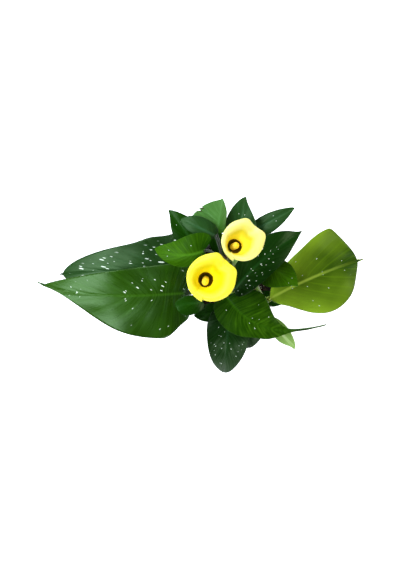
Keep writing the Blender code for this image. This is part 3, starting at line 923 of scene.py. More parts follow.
def stalk_skin(name, foot, body, top, foot_height, top_height):
    """Waxed green stem tissue: fine fibres run along it, and it pales towards the soil."""
    material, shader = new_material(name, 0.42, ior=1.43, specular_ior_level=0.15)
    shader.inputs["Subsurface Weight"].default_value = 0.05
    place = add_node(material, "ShaderNodeTexCoord").outputs["Object"]
    heights = add_node(material, "ShaderNodeSeparateXYZ", {"Vector": place})
    level = add_node(
        material, "ShaderNodeMapRange",
        {"Value": heights.outputs["Z"], "From Min": foot_height, "From Max": top_height},
    )
    shade = add_node(
        material, "ShaderNodeValToRGB", {"Fac": level.outputs[0]},
        stops=[(0.0, colour(foot)), (0.35, colour(body)), (1.0, colour(top))],
    )
    around = add_node(material, "ShaderNodeUVMap", uv_map="flat").outputs["UV"]
    stretched = add_node(
        material, "ShaderNodeVectorMath", {0: around, 1: (12.0, 1 / FIBRE_WIDTH, 1.0)}, operation="MULTIPLY"
    )
    fibres = add_node(
        material, "ShaderNodeTexNoise", {"Vector": stretched.outputs[0], "Scale": 1.0, "Detail": 2.0}
    )
    tint = add_node(
        material, "ShaderNodeMapRange",
        {"Value": fibres.outputs["Fac"], "From Min": 0.35, "From Max": 0.7, "To Max": 0.35}
    )
    striped = add_node(
        material, "ShaderNodeMix", {0: tint.outputs[0], MIX_A: shade.outputs["Color"], MIX_B: colour(top)},
        data_type="RGBA",
    )
    material.node_tree.links.new(striped.outputs[MIX_RESULT], shader.inputs["Base Color"])
    relief = add_node(
        material, "ShaderNodeBump", {"Height": fibres.outputs["Fac"], "Strength": 0.3, "Distance": 0.0003}
    )
    material.node_tree.links.new(relief.outputs[0], shader.inputs["Normal"])
    return material


# The plain stalks' top colour is painted shade: a near-black green for the shade under the blades, darker than a
# stalk's own mid green. Their fibre stripes take that dark colour too.
SHADED_STALK_SKIN = stalk_skin("calla stalk", "#BCC690", "#386422", "#0E2606", 0.13, 0.23)
PALE_STALK_SKIN = stalk_skin("pale calla stalk", "#B4C088", "#1E3C10", "#86A040", 0.13, 0.238)
STEM_SKIN = stalk_skin("calla flower stem", "#D2D8AE", "#6A9440", "#79A23E", 0.13, 0.38)

# %% [markdown]
# ## Swept stems
#
# The stalks and the flower stems are all made by one function, which carries a ring of points along a
# route. It keeps each ring's turn close to the last one's, so the stem doesn't twist. First come the
# places where the stalks stand on their shoots: evenly round a ring, each on the side that it leans to.

# %% Swept stems
SHOOTS = {"left": (-22, 6), "back": (2, 22), "right": (22, 2), "front": (-4, -20)}
SHOOT_OF = {
    "left": ("left_big", "left_rear", "left_small", "left_inner", "back_left", "back_inner"),
    "back": ("back_torn", "centre", "back_middle", "back_right"),
    "right": ("right_pale", "right_small", "right_low"),
    "front": ("right_long", "front_tailed", "front_broad", "front_low", "front_pale", "front_left"),
}
GAP = 0.0003
SHOOT_FOOT = SOIL_TOP + 2 * GAP
SHOOT_HEIGHT = 0.042
SHOOT_WIDTH = 0.0272
SHOOT_TOP = SHOOT_FOOT + SHOOT_HEIGHT
STALK_RING = 0.0088


def shoot_centre(shoot, height):
    return Vector((SHOOTS[shoot][0] * MM, SHOOTS[shoot][1] * MM, height))


def root_places(shoot, leaves):
    """Where each stalk stands on its shoot: evenly round a ring, in the order of their headings."""
    centre = shoot_centre(shoot, SHOOT_TOP + 2 * GAP)
    aims = {}
    for leaf in leaves:
        aim = placed(leaf.base) - centre
        aims[leaf.name] = math.atan2(aim.y, aim.x)
    order = sorted(leaves, key=lambda leaf: aims[leaf.name])
    step = math.tau / len(order)
    east = sum(math.cos(aims[leaf.name] - i * step) for i, leaf in enumerate(order))
    north = sum(math.sin(aims[leaf.name] - i * step) for i, leaf in enumerate(order))
    first = math.atan2(north, east)
    return {
        leaf.name: centre + Vector((math.cos(first + i * step), math.sin(first + i * step), 0)) * STALK_RING
        for i, leaf in enumerate(order)
    }


def swept_stem(name, route, radii, outline, sides=20):
    """A closed stem round a route. outline(share, turn) says how much a ring stands in or out."""
    shape = bmesh.new()
    flat_map = shape.loops.layers.uv.new("flat")
    side = Vector((1, 0, 0))
    rings, along, turns = [], [0.0], {}
    for i, point in enumerate(route):
        ahead = (route[min(i + 1, len(route) - 1)] - route[max(i - 1, 0)]).normalized()
        side = (side - ahead * side.dot(ahead)).normalized()
        other = ahead.cross(side)
        if i:
            along.append(along[-1] + (point - route[i - 1]).length)
        ring = []
        for j in range(sides):
            turn = math.tau * j / sides
            heading = side * math.cos(turn) + other * math.sin(turn)
            radius = radii[i] * outline(i / (len(route) - 1), heading)
            ring.append(shape.verts.new(point + heading * radius))
        rings.append(ring)
    for i, (a, b) in enumerate(zip(rings, rings[1:])):
        for j in range(sides):
            face = shape.faces.new((a[j], a[(j + 1) % sides], b[(j + 1) % sides], b[j]))
            corners = ((i, j), (i, j + 1), (i + 1, j + 1), (i + 1, j))
            for loop, (row, column) in zip(face.loops, corners):
                loop[flat_map].uv = (along[row], column / sides * math.tau * radii[0])
    shape.faces.new(list(reversed(rings[0])))
    shape.faces.new(rings[-1])
    stem = new_object(name, shape)
    stem.data.shade_smooth()
    return stem


def grooved(share, heading):
    """A stalk's section: round, with a shallow groove along the side that faces up."""
    return 1 - 0.22 * math.exp(-(((1 - heading.z) / 0.22) ** 2)) * smooth(share, 0.1, 0.3)


# %% [markdown]
# ## Leaf stalks
#
# Each stalk starts inside its shoot, rises, and leans over until it meets its blade from below. It could
# stop there, but on the plant it runs on under the blade as the midrib, so the route follows the blade's
# own curve and the rings shrink along it.

# %% Leaf stalks
SHEATHED = 0.012
UNDER_BLADE = 0.42
# How wide each stalk stays where it meets its blade: the pale leaf's is a broad, fleshy one.
BROAD_STALKS = {"right_pale": 2.4, "left_big": 2.6}


def make_petiole(leaf, root):
    """The stalk, from inside its shoot to far under the blade, standing for the plain stalk."""
    rib = Midrib(leaf)
    base, forward, _, up = rib.frame(0)
    arrival = (forward * 0.55 + up).normalized()
    foot_radius = leaf.stalk_radius * MM
    top_radius = foot_radius * STALK_TAPER * BROAD_STALKS.get(leaf.name, 1.15)
    end = base - arrival * (top_radius * 0.9)
    reach = (end - root).length
    corners = [root, root + UP * reach * 0.42, end - arrival * reach * 0.30, end]
    route, radii = [root - UP * SHEATHED], [foot_radius * 1.02]
    for i in range(25):
        share = i / 24
        route.append(bezier(corners, share))
        radii.append(foot_radius + (top_radius - foot_radius) * share**1.5)
    under = rib.length * UNDER_BLADE
    for i in range(1, 15):
        share = i / 14
        point, _, _, up = rib.frame(under * share)
        radius = top_radius * (1 - 0.85 * share) + 0.0002
        route.append(point - up * (0.9 * radius + 0.0006))
        radii.append(radius)
    petiole = swept_stem("petiole_" + leaf.name, route, radii, grooved)
    pale = leaf.tissue == "pale"
    petiole.data.materials.append(PALE_STALK_SKIN if pale else SHADED_STALK_SKIN)
    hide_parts("stalk_" + leaf.name)
    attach(petiole, "root")
    return petiole


LEAF = {leaf.name: leaf for leaf in LEAVES}
ROOTS = {}
for shoot, names in SHOOT_OF.items():
    ROOTS.update(root_places(shoot, [leaf for leaf in LEAVES if leaf.name in names]))
gaps = {}
for name, root in ROOTS.items():
    gaps[name] = round(box_gap(make_petiole(LEAF[name], root), "stalk_" + name), 1)
print("stalks made:", len(gaps), "and their midribs pass the plain ones by up to", max(gaps.values()), "mm")

# %% [markdown]
# ## Shoots
#
# Low down, each stalk is a sheath wrapped round the next one, as the layers of a leek are. A shoot is
# made of a core and several sheaths: each is a sheet wrapped most of the way round, whose free edge
# slants down like a collar. The sheaths are thin and pale at their edges, with ribs along them.

# %% Shoots
SHEATH_RIBS = 26
CORE_SIDES = 32
# How high each sheath stands, from the innermost to the outermost, as a share of the shoot.
SHEATH_TOPS = [1.0, 0.94, 0.80, 0.56]


def sheath_skin():
    """Sheath tissue: pale and fleshy, ribbed, brownish and papery at its free edge."""
    material, shader = new_material("calla sheath", 0.48, ior=1.42)
    shader.inputs["Subsurface Weight"].default_value = 0.08
    place = add_node(material, "ShaderNodeTexCoord").outputs["Object"]
    heights = add_node(material, "ShaderNodeSeparateXYZ", {"Vector": place})
    level = add_node(
        material, "ShaderNodeMapRange",
        {"Value": heights.outputs["Z"], "From Min": SHOOT_FOOT, "From Max": SHOOT_TOP},
    )
    shade = add_node(
        material, "ShaderNodeValToRGB", {"Fac": level.outputs[0]},
        stops=[
            (0.0, colour("#B99A86")), (0.22, colour("#D6D3AE")),
            (0.6, colour("#A9B873")), (1.0, colour("#7E9E4C")),
        ],
    )
    around = add_node(material, "ShaderNodeUVMap", uv_map="flat").outputs["UV"]
    stretched = add_node(
        material, "ShaderNodeVectorMath", {0: around, 1: (30.0, 900.0, 1.0)}, operation="MULTIPLY"
    )
    fibres = add_node(
        material, "ShaderNodeTexNoise", {"Vector": stretched.outputs[0], "Scale": 1.0, "Detail": 2.0}
    )
    tint = add_node(
        material, "ShaderNodeMapRange",
        {"Value": fibres.outputs["Fac"], "From Min": 0.4, "From Max": 0.7, "To Max": 0.4}
    )
    striped = add_node(
        material, "ShaderNodeMix",
        {0: tint.outputs[0], MIX_A: shade.outputs["Color"], MIX_B: colour("#8CA65A")},
        data_type="RGBA",
    )
    papery = add_node(material, "ShaderNodeAttribute", attribute_name="papery")
    edged = add_node(
        material, "ShaderNodeMix",
        {0: papery.outputs["Fac"], MIX_A: striped.outputs[MIX_RESULT], MIX_B: colour("#C8AE7C")},
        data_type="RGBA",
    )
    material.node_tree.links.new(edged.outputs[MIX_RESULT], shader.inputs["Base Color"])
    relief = add_node(
        material, "ShaderNodeBump", {"Height": fibres.outputs["Fac"], "Strength": 0.4, "Distance": 0.0003}
    )
    material.node_tree.links.new(relief.outputs[0], shader.inputs["Normal"])
    return material


SHEATH_SKIN = sheath_skin()


def make_sheaths(shoot):
    """A shoot: a core with sheaths wrapped round it, each lower and wider than the one inside."""
    centre = shoot_centre(shoot, SHOOT_FOOT)
    seed = sum(map(ord, shoot))
    outer = SHOOT_WIDTH / 2
    shape = bmesh.new()
    flat_map = shape.loops.layers.uv.new("flat")
    papery = shape.verts.layers.float.new("papery")

    def sheet(radius, low, high, opening, slant, turns=48, rows=12, thin=0.0009):
        """One wrapped layer with two faces. Its free edge slants down on both sides of the opening."""
        layers = []
        for inner in (0, 1):
            rings = []
            for i in range(rows + 1):
                row = []
                for j in range(turns + 1):
                    swing = (j / turns - 0.5) * 2 * (math.pi - 0.15)
                    turn = opening + math.pi + swing
                    dip = slant * smooth(abs(swing) / math.pi, 0.35, 1.0)
                    top = high - dip
                    level = low + (top - low) * i / rows
                    rise = level / SHOOT_HEIGHT
                    swell = 1 - 0.16 * (1 - smooth(rise, 0, 0.25)) - 0.12 * smooth(rise, 0.55, 1.1)
                    rib = 1 + 0.008 * math.cos(SHEATH_RIBS * turn)
                    spiral = 0.0006 * swing / math.pi
                    out = (radius + spiral) * swell * rib - (thin * (1 - 0.6 * i / rows) if inner else 0)
                    spot = centre + Vector((out * math.cos(turn), out * math.sin(turn), level))
                    vertex = shape.verts.new(spot)
                    vertex[papery] = smooth(i / rows, 0.93, 1.0) * 0.8
                    row.append((vertex, (level, turn * radius)))
                rings.append(row)
            layers.append(rings)

        close_sheet(shape, flat_map, *layers)

    for i, top in enumerate(SHEATH_TOPS):
        share = i / (len(SHEATH_TOPS) - 1)
        radius = outer * (0.70 + 0.30 * share)
        sheet(radius, 0.0, SHOOT_HEIGHT * top, seed + i * 2.3, SHOOT_HEIGHT * (0.16 + 0.08 * share))
    core_rings = []
    for level, width in ((0.0, 0.60), (0.3, 0.62), (0.7, 0.58), (0.90, 0.50), (0.97, 0.36)):
        ring = []
        for j in range(CORE_SIDES):
            turn = math.tau * j / CORE_SIDES
            out = outer * width
            spot = centre + Vector((out * math.cos(turn), out * math.sin(turn), level * SHOOT_HEIGHT))
            ring.append(shape.verts.new(spot))
        core_rings.append(ring)
    join_rings(shape, core_rings)
    sheaths = new_object("sheaths_" + shoot, shape, SHEATH_SKIN)
    sheaths.data.shade_smooth()
    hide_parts("shoot_" + shoot)
    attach(sheaths, "root")
    return sheaths


for shoot in SHOOTS:
    print_gap(make_sheaths(shoot), "shoot_" + shoot)

# %% [markdown]
# ## Flowers
#
# The yellow part isn't a petal. It is the spathe, one leaf rolled into a funnel, with one edge tucked
# under the other and a tip that curls back. It could be modelled from a cone, but a cone has no seam and
# an even rim. So each point is worked out from its heading and from how far up the funnel it is: a Bezier
# curve leads out of the narrow throat, up and over the rolled rim. Fine ribs run up it. The throat is
# stained dark maroon, and the stain ends in a wavy line.

# %% Flower parts: where they stand
SPATHE_THROAT_RADIUS = 0.0054
SPATHE_THICKNESS = 0.001
FLOWER_STEM_RADIUS = 0.0042
FLOWER_STEM_TOP_RADIUS = 0.0062
SPADIX_RADIUS = 0.0043
SPADIX_FOOT_RADIUS = 0.0033
SPADIX_HEIGHT = 0.040
SHOOT_WITH_FLOWER = {"front": "left", "rear": "back"}


def flower_frame(flower):
    """The matrix that stands a flower's parts on the top of its stem."""
    axis = Vector((*flower.lean, 1)).normalized()
    turn = UP.rotation_difference(axis).to_matrix().to_4x4()
    return Matrix.Translation(placed(flower.base)) @ turn


def spathe_point(flower, heading, share):
    """The radius and height of the hood at a heading, from its foot (share 0) to its rim (share 1)."""
    ahead, beside, behind = (r * MM for r in flower.reach)
    around = heading - math.radians(flower.heading)
    mean = (ahead + behind) / 4 + beside / 2
    reach = mean + (ahead - behind) / 2 * math.cos(around)
    reach += ((ahead + behind) / 2 - mean) * math.cos(2 * around)
    off_tip = math.degrees(heading - math.radians(flower.tip_heading))
    off_tip = (off_tip + 180) % 360 - 180
    tip = math.exp(-((off_tip / 13) ** 2))
    shoulder = math.exp(-(((abs(off_tip) - 24) / 10) ** 2))
    reach += (2.0 * shoulder - 3.0 * tip) * MM
    rim = (flower.height + 5 * math.cos(around)) * MM
    corners = [
        Vector((SPATHE_THROAT_RADIUS, 0)),
        Vector((0.0095, 0.42 * rim)),
        Vector((0.42 * reach, 1.10 * rim)),
        Vector((reach, rim - (3 + 8 * tip) * MM)),
    ]
    radius, height = bezier(corners, share)
    return radius, height


# %% [markdown]
# ## Spathe tissue
#
# A spathe is soft and holds water, so light goes some way into it: that is subsurface scattering, and
# its red and green reach further than its blue, which keeps the yellow warm. A ramp runs from the funnel
# to the rim, the maroon stain follows the distance from the axis, and the outside is paler and greener.

# %% Spathe tissue
SPATHE_RIBS = 46
STAIN_END = 0.0090
SPATHE_GLOW = 0.0010
THROAT_GLOW = 0.30
SHARP = math.radians(50)


def spathe_skin(name, rim, bowl, funnel, outside):
    """Spathe tissue: soft, satin, slightly see-through; its funnel is painted brighter, as light against the
    throat's shade.
    """
    material, shader = new_material(name, 0.45, ior=1.40, specular_ior_level=0.3)
    shader.inputs["Subsurface Weight"].default_value = 0.3
    shader.inputs["Subsurface Scale"].default_value = SPATHE_GLOW
    shader.inputs["Subsurface Radius"].default_value = (1.0, 0.8, 0.12)
    grid = add_node(material, "ShaderNodeUVMap", uv_map="flat").outputs["UV"]
    split = add_node(material, "ShaderNodeSeparateXYZ", {"Vector": grid})
    distance = add_node(material, "ShaderNodeAttribute", attribute_name="out")
    mottle = add_node(material, "ShaderNodeTexNoise", {"Vector": grid, "Scale": 9.0, "Detail": 3.0})
    wander = add_node(
        material, "ShaderNodeMath", {0: mottle.outputs["Fac"], 1: 0.16, 2: -0.08}, operation="MULTIPLY_ADD"
    )
    level = add_node(
        material, "ShaderNodeMath", {0: split.outputs["Y"], 1: wander.outputs[0]}, operation="ADD"
    )
    # The ramp's funnel stop is painted light: brighter than the bowl, to offset the shade deep in the throat.
    shade = add_node(
        material, "ShaderNodeValToRGB", {"Fac": level.outputs[0]},
        stops=[(0.42, colour(funnel)), (0.66, colour(bowl)), (0.92, colour(rim)), (1.0, colour(rim))],
    )
    stain_noise = add_node(material, "ShaderNodeTexNoise", {"Vector": grid, "Scale": 26.0, "Detail": 2.0})
    ragged = add_node(
        material, "ShaderNodeMath",
        {0: stain_noise.outputs["Fac"], 1: 0.0024, 2: -0.0012}, operation="MULTIPLY_ADD"
    )
    reach = add_node(
        material, "ShaderNodeMath", {0: distance.outputs["Fac"], 1: ragged.outputs[0]}, operation="ADD"
    )
    stain = add_node(
        material, "ShaderNodeMapRange",
        {"Value": reach.outputs[0], "From Min": STAIN_END + 0.0005, "From Max": STAIN_END}
    )
    stained = add_node(
        material, "ShaderNodeMix",
        {0: stain.outputs[0], MIX_A: shade.outputs["Color"], MIX_B: colour("#0C0204")},
        data_type="RGBA",
    )
    # The throat is lit through its own thin wall. A faint glow inside it, which ends at the bowl, stands
    # for that light.
    outer_face = add_node(material, "ShaderNodeAttribute", attribute_name="outer")
    depth = add_node(
        material, "ShaderNodeMapRange", {"Value": split.outputs["Y"], "From Min": 0.84, "From Max": 0.50}
    )
    inner_face = add_node(
        material, "ShaderNodeMath", {0: depth.outputs[0], 1: outer_face.outputs["Fac"]}, operation="SUBTRACT",
        use_clamp=True,
    )
    glow = add_node(
        material, "ShaderNodeMix",
        {0: inner_face.outputs[0], MIX_A: (0, 0, 0, 1), MIX_B: stained.outputs[MIX_RESULT]}, data_type="RGBA",
    )
    material.node_tree.links.new(glow.outputs[MIX_RESULT], shader.inputs["Emission Color"])
    shader.inputs["Emission Strength"].default_value = THROAT_GLOW
    pale_foot = add_node(
        material, "ShaderNodeValToRGB", {"Fac": split.outputs["Y"]},
        stops=[(0.05, colour("#557A2C")), (0.45, colour(outside)), (0.97, colour(outside)), (1.0, colour(rim))],
    )
    sided = add_node(
        material, "ShaderNodeMix",
        {0: outer_face.outputs["Fac"], MIX_A: stained.outputs[MIX_RESULT], MIX_B: pale_foot.outputs["Color"]},
        data_type="RGBA",
    )
    material.node_tree.links.new(sided.outputs[MIX_RESULT], shader.inputs["Base Color"])
    place = add_node(material, "ShaderNodeTexCoord").outputs["Object"]
    skin = add_node(material, "ShaderNodeTexNoise", {"Vector": place, "Scale": 1400.0, "Detail": 1.0})
    relief = add_node(
        material, "ShaderNodeBump", {"Height": skin.outputs["Fac"], "Strength": 0.12, "Distance": 0.0002}
    )
    material.node_tree.links.new(relief.outputs[0], shader.inputs["Normal"])
    return material


# Each spathe takes rim, bowl, funnel and outside colours. The funnel colour, brighter than the bowl's, is
# painted light against the shade deep in the throat.
SPATHE_SKINS = {
    "front": spathe_skin("butter-yellow spathe", "#FAEC3A", "#D8C800", "#F2E41C", "#B4A62A"),
    "rear": spathe_skin("pale yellow spathe", "#F0EA84", "#D2BE22", "#F2E238", "#B4AC50"),
}

# %% [markdown]
# ## Spathes
#
# The sheet is drawn twice, as an inner and an outer face a millimetre apart, thinner at the rim. Solidify
# could give it its thickness, but then one face couldn't know that it is the outer one, and the two need
# different colours. The edges at the seam are marked sharp, so that smooth shading doesn't smear over it.

# %% Spathes
SPATHE_TURNS = 150
SPATHE_ROWS = 54
ROLL_START = 0.90
SEAM_OFF_TIP = 155


def make_hood(flower):
    """The spathe: a thin two-sided sheet, ribbed, with a rolled rim and a curled tip."""
    overlap, tuck = math.radians(14), 0.0008
    seam = math.radians(flower.tip_heading - SEAM_OFF_TIP)
    place = flower_frame(flower) @ Matrix.Translation(UP * (GAP + SPATHE_THICKNESS / 2))
    shape = bmesh.new()
    flat_map = shape.loops.layers.uv.new("flat")
    out_of_axis = shape.verts.layers.float.new("out")
    outer = shape.verts.layers.float.new("outer")
    tip_heading = math.radians(flower.tip_heading)

    def hood_spot(i, j, outside):
        swing = (j / SPATHE_TURNS * 2 - 1) * (math.pi + overlap)
        heading, share = seam + math.pi + swing, i / SPATHE_ROWS
        radius, height = spathe_point(flower, heading, share)
        step_radius, step_height = spathe_point(flower, heading, max(share - 0.01, 0.0) if share else 0.01)
        along = Vector((radius - step_radius, height - step_height)).normalized() * (1 if share else -1)
        inward = Vector((-along.y, along.x))
        rib = 0.00013 * math.cos(SPATHE_RIBS * swing) * smooth(share, 0.2, 0.5) * (1 - smooth(share, 0.8, 0.95))
        round_axis = Vector((math.cos(heading) * 1.6, math.sin(heading) * 1.6, share * 3 + flower.height))
        wave = 0.0009 * noise.noise(round_axis)
        wave *= smooth(share, 0.3, 0.7)
        thickness = SPATHE_THICKNESS * (1 - 0.45 * smooth(share, 0.5, 1.0))
        offset = rib + wave - (thickness if outside else 0.0) + thickness / 2
        margin_end = smooth(abs(swing), math.pi - 0.35, math.pi + overlap) * smooth(share, 0.6, 1.0)
        radius += inward.x * offset + tuck * swing / math.pi + math.copysign(0.0012, swing) * margin_end
        height += inward.y * offset
        roll = smooth(share, ROLL_START, 1.0)
        height -= 0.0016 * roll * roll
        off_tip = (heading - tip_heading + math.pi) % math.tau - math.pi
        point = math.exp(-((off_tip / 0.09) ** 2)) * smooth(share, 0.80, 1.0)
        radius += 0.0012 * point
        height -= 0.0030 * point
        spot = shape.verts.new(place @ Vector((radius * math.cos(heading), radius * math.sin(heading), height)))
        spot[out_of_axis] = radius
        spot[outer] = 1.0 if outside else 0.0
        return spot, (heading / math.tau, share)

    rows, turns = range(SPATHE_ROWS + 1), range(SPATHE_TURNS + 1)
    inside = [[hood_spot(i, j, False) for j in turns] for i in rows]
    outside = [[hood_spot(i, j, True) for j in turns] for i in rows]

    close_sheet(shape, flat_map, outside, inside)
    for edge in shape.edges:
        edge.smooth = edge.calc_face_angle(0.0) < SHARP
    hood = new_object("hood_" + flower.name, shape, SPATHE_SKINS[flower.name])
    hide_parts("spathe_" + flower.name)
    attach(hood, "root")
    return hood


for flower in FLOWERS:
    print_gap(make_hood(flower), "spathe_" + flower.name)

# %% [markdown]
# ## Spadices
#
# The spadix is packed with tiny florets in crossing spirals. The golden angle, 137.5 degrees between
# one floret and the next, packs them as the plant does. Each floret is a small dome set into the finger,
# and the finger leans a little, as real ones do.

# %% Spadices
FLORETS = 340
FLORET_SIZE = 0.00062
GOLDEN_ANGLE = math.radians(137.508)
SPADIX_LEAN = {"front": Vector((-0.0006, -0.0036, 0)), "rear": Vector((0.0020, 0.0010, 0))}


def spadix_skin():
    """Florets dusted with pollen: matt, grainy, yellow, with painted orange shade between the domes and a
    painted glow.
    """
    material, shader = new_material("calla florets with pollen", 0.8, ior=1.40)
    # The florets glow faintly: painted light, for a spadix that stands in the shade of its hood.
    shader.inputs["Emission Color"].default_value = colour("#FFC81E")
    shader.inputs["Emission Strength"].default_value = 0.30
    place = add_node(material, "ShaderNodeTexCoord").outputs["Object"]
    pollen = add_node(material, "ShaderNodeTexNoise", {"Vector": place, "Scale": 1500.0, "Detail": 2.0})
    shade = add_node(
        material, "ShaderNodeValToRGB", {"Fac": pollen.outputs["Fac"]},
        stops=[(0.35, colour("#FFE23C")), (0.65, colour("#FFF480"))],
    )
    # Painted shade: the core between the florets is mixed to a deeper orange.
    crevice = add_node(material, "ShaderNodeAttribute", attribute_name="crevice")
    deep = add_node(
        material, "ShaderNodeMix",
        {0: crevice.outputs["Fac"], MIX_A: shade.outputs["Color"], MIX_B: colour("#FFCC2A")},
        data_type="RGBA",
    )
    material.node_tree.links.new(deep.outputs[MIX_RESULT], shader.inputs["Base Color"])
    relief = add_node(
        material, "ShaderNodeBump", {"Height": pollen.outputs["Fac"], "Strength": 0.4, "Distance": 0.0002}
    )
    material.node_tree.links.new(relief.outputs[0], shader.inputs["Normal"])
    return material


SPADIX_SKIN = spadix_skin()


def finger_radius(share):
    """The finger's radius, from its foot to its rounded top."""
    swell = SPADIX_FOOT_RADIUS + (SPADIX_RADIUS * 0.93 - SPADIX_FOOT_RADIUS) * smooth(share, 0.05, 0.35)
    dome = max(0.0, (share - 0.84) / 0.16)
    return swell * math.sqrt(max(1 - dome * dome, 0.0))


def make_finger(flower):
    """A spadix: a core turned from its outline, and a dome for each floret."""
    place = flower_frame(flower) @ Matrix.Translation(UP * GAP)
    lean = SPADIX_LEAN[flower.name]
    shape = bmesh.new()
    # This layer marks the finger's core between the florets, for the skin's painted shade there.
    crevice = shape.verts.layers.float.new("crevice")

    def spot(share, turn, radius, sunk):
        local = Vector((radius * math.cos(turn), radius * math.sin(turn), share * (SPADIX_HEIGHT - 0.0005)))
        vertex = shape.verts.new(place @ (local + lean * share * share))
        vertex[crevice] = sunk
        return vertex

    sides, rings = 24, []
    for i in range(31):
        share = min(i / 30, 0.995)
        rings.append([spot(share, math.tau * j / sides, finger_radius(share) * 0.94, 1.0) for j in range(sides)])
    join_rings(shape, rings)
    for k in range(FLORETS):
        share = 0.14 + 0.855 * (k + 0.5) / FLORETS
        turn = k * GOLDEN_ANGLE
        radius = finger_radius(share) * 0.93
        slope = (finger_radius(min(share + 0.01, 1.0)) - finger_radius(share - 0.01)) / (0.02 * SPADIX_HEIGHT)
        outward = Vector((math.cos(turn), math.sin(turn), -slope)).normalized()
        centre = Vector((radius * math.cos(turn), radius * math.sin(turn), share * (SPADIX_HEIGHT - 0.0012)))
        turn_to = UP.rotation_difference(outward).to_matrix().to_4x4()
        matrix = place @ Matrix.Translation(centre + lean * share * share) @ turn_to
        made = bmesh.ops.create_icosphere(shape, subdivisions=1, radius=FLORET_SIZE, matrix=matrix)
        for vertex in made["verts"]:
            vertex[crevice] = 0.0
    finger = new_object("finger_" + flower.name, shape, SPADIX_SKIN)
    finger.data.shade_smooth()
    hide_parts("spadix_" + flower.name)
    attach(finger, "root")
    return finger


for flower in FLOWERS:
    print_gap(make_finger(flower), "spadix_" + flower.name)

# %% [markdown]
# ## Flower stems
#
# A flower's stem is round and has no groove. It is the same swept stem as a leaf's stalk, straighter, and
# widened at its top into a small cup that carries the spathe and the spadix.

# %% Flower stems
for flower in FLOWERS:
    root = shoot_centre(SHOOT_WITH_FLOWER[flower.name], SHOOT_TOP + GAP)
    stand = flower_frame(flower)
    end, axis = stand.translation, stand.to_3x3() @ UP
    reach = (end - root).length
    corners = [root, root + UP * reach * 0.40, end - axis * reach * 0.40, end]
    route, radii = [root - UP * SHEATHED], [FLOWER_STEM_RADIUS]
    for i in range(41):
        share = i / 40
        route.append(bezier(corners, share))
        wide = smooth(share, 0.90, 1.0)
        radii.append(FLOWER_STEM_RADIUS + (FLOWER_STEM_TOP_RADIUS - FLOWER_STEM_RADIUS) * wide)
    route.append(end + axis * 0.0006)
    radii.append(FLOWER_STEM_TOP_RADIUS * 0.9)
    stem = swept_stem("stem_" + flower.name, route, radii, lambda share, heading: 1.0, sides=28)
    stem.data.materials.append(STEM_SKIN)
    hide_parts("flower_stem_" + flower.name)
    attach(stem, "root")
    print("stem", flower.name, "is", round(reach / MM), "mm long")

# %% [markdown]
# ## Pot
#
# A grower's pot is injection-moulded polypropylene. The mould gives it a fine matt grain, a rolled rim
# to carry it by, a faint line where the mould's halves met, a small step that stops stacked pots from
# jamming, and rubs where they slid. The shape is turned from its section. A Screw modifier would do that
# too, but here each ring of points is placed in turn, so that the mould's line can stand out from the
# wall. The drain holes are then drilled through the floor with a Boolean.

# %% Pot
POT_DIAMETER = 0.127
POT_BASE_DIAMETER = 0.092
POT_WALL = 0.002
POT_FLOOR = 0.0028
RIM_DEPTH = 0.013
RIM_PROUD = 0.0024
DRAIN_HOLES = 6
DRAIN_HOLE_RADIUS = 0.004
POT_SIDES = 144
DRILL_LENGTH = 0.02


def moulded_skin():
    """Black polypropylene, moulded: a soft sheen over a fine spark grain, with grey rubs."""
    material, shader = new_material("moulded black polypropylene", 0.5, ior=1.49, specular_ior_level=0.4)
    place = add_node(material, "ShaderNodeTexCoord").outputs["Object"]
    heights = add_node(material, "ShaderNodeSeparateXYZ", {"Vector": place})
    dust = add_node(material, "ShaderNodeTexNoise", {"Vector": place, "Scale": 60.0, "Detail": 5.0})
    level = add_node(
        material, "ShaderNodeMapRange",
        {"Value": heights.outputs["Z"], "From Min": POT_HEIGHT * 0.5, "From Max": 0.0}
    )
    low_dust = add_node(
        material, "ShaderNodeMath", {0: level.outputs[0], 1: dust.outputs["Fac"]}, operation="MULTIPLY"
    )
    dusty = add_node(
        material, "ShaderNodeMapRange",
        {"Value": low_dust.outputs[0], "From Min": 0.20, "From Max": 0.55, "To Max": 0.5}
    )
    shade = add_node(
        material, "ShaderNodeMix", {0: dusty.outputs[0], MIX_A: colour("#151515"), MIX_B: colour("#3C352C")},
        data_type="RGBA",
    )
    stretched = add_node(
        material, "ShaderNodeVectorMath", {0: place, 1: (1.0, 1.0, 0.06)}, operation="MULTIPLY"
    )
    rubs = add_node(
        material, "ShaderNodeTexNoise", {"Vector": stretched.outputs[0], "Scale": 420.0, "Detail": 2.0}
    )
    rubbed = add_node(
        material, "ShaderNodeMapRange",
        {"Value": rubs.outputs["Fac"], "From Min": 0.66, "From Max": 0.74, "To Max": 0.35}
    )
    worn = add_node(
        material, "ShaderNodeMix",
        {0: rubbed.outputs[0], MIX_A: shade.outputs[MIX_RESULT], MIX_B: colour("#6A6A68")},
        data_type="RGBA",
    )
    material.node_tree.links.new(worn.outputs[MIX_RESULT], shader.inputs["Base Color"])
    rough = add_node(
        material, "ShaderNodeMapRange", {"Value": dusty.outputs[0], "To Min": 0.42, "To Max": 0.9}
    )
    material.node_tree.links.new(rough.outputs[0], shader.inputs["Roughness"])
    grain = add_node(material, "ShaderNodeTexNoise", {"Vector": place, "Scale": 1400.0, "Detail": 1.0})
    relief = add_node(
        material, "ShaderNodeBump", {"Height": grain.outputs["Fac"], "Strength": 0.35, "Distance": 0.0002}
    )
    material.node_tree.links.new(relief.outputs[0], shader.inputs["Normal"])
    return material


def pot_wall_radius(height):
    """The outer radius of the pot's tapered wall under its rim."""
    top = POT_DIAMETER / 2 - RIM_PROUD
    return POT_BASE_DIAMETER / 2 + (top - POT_BASE_DIAMETER / 2) * height / POT_HEIGHT


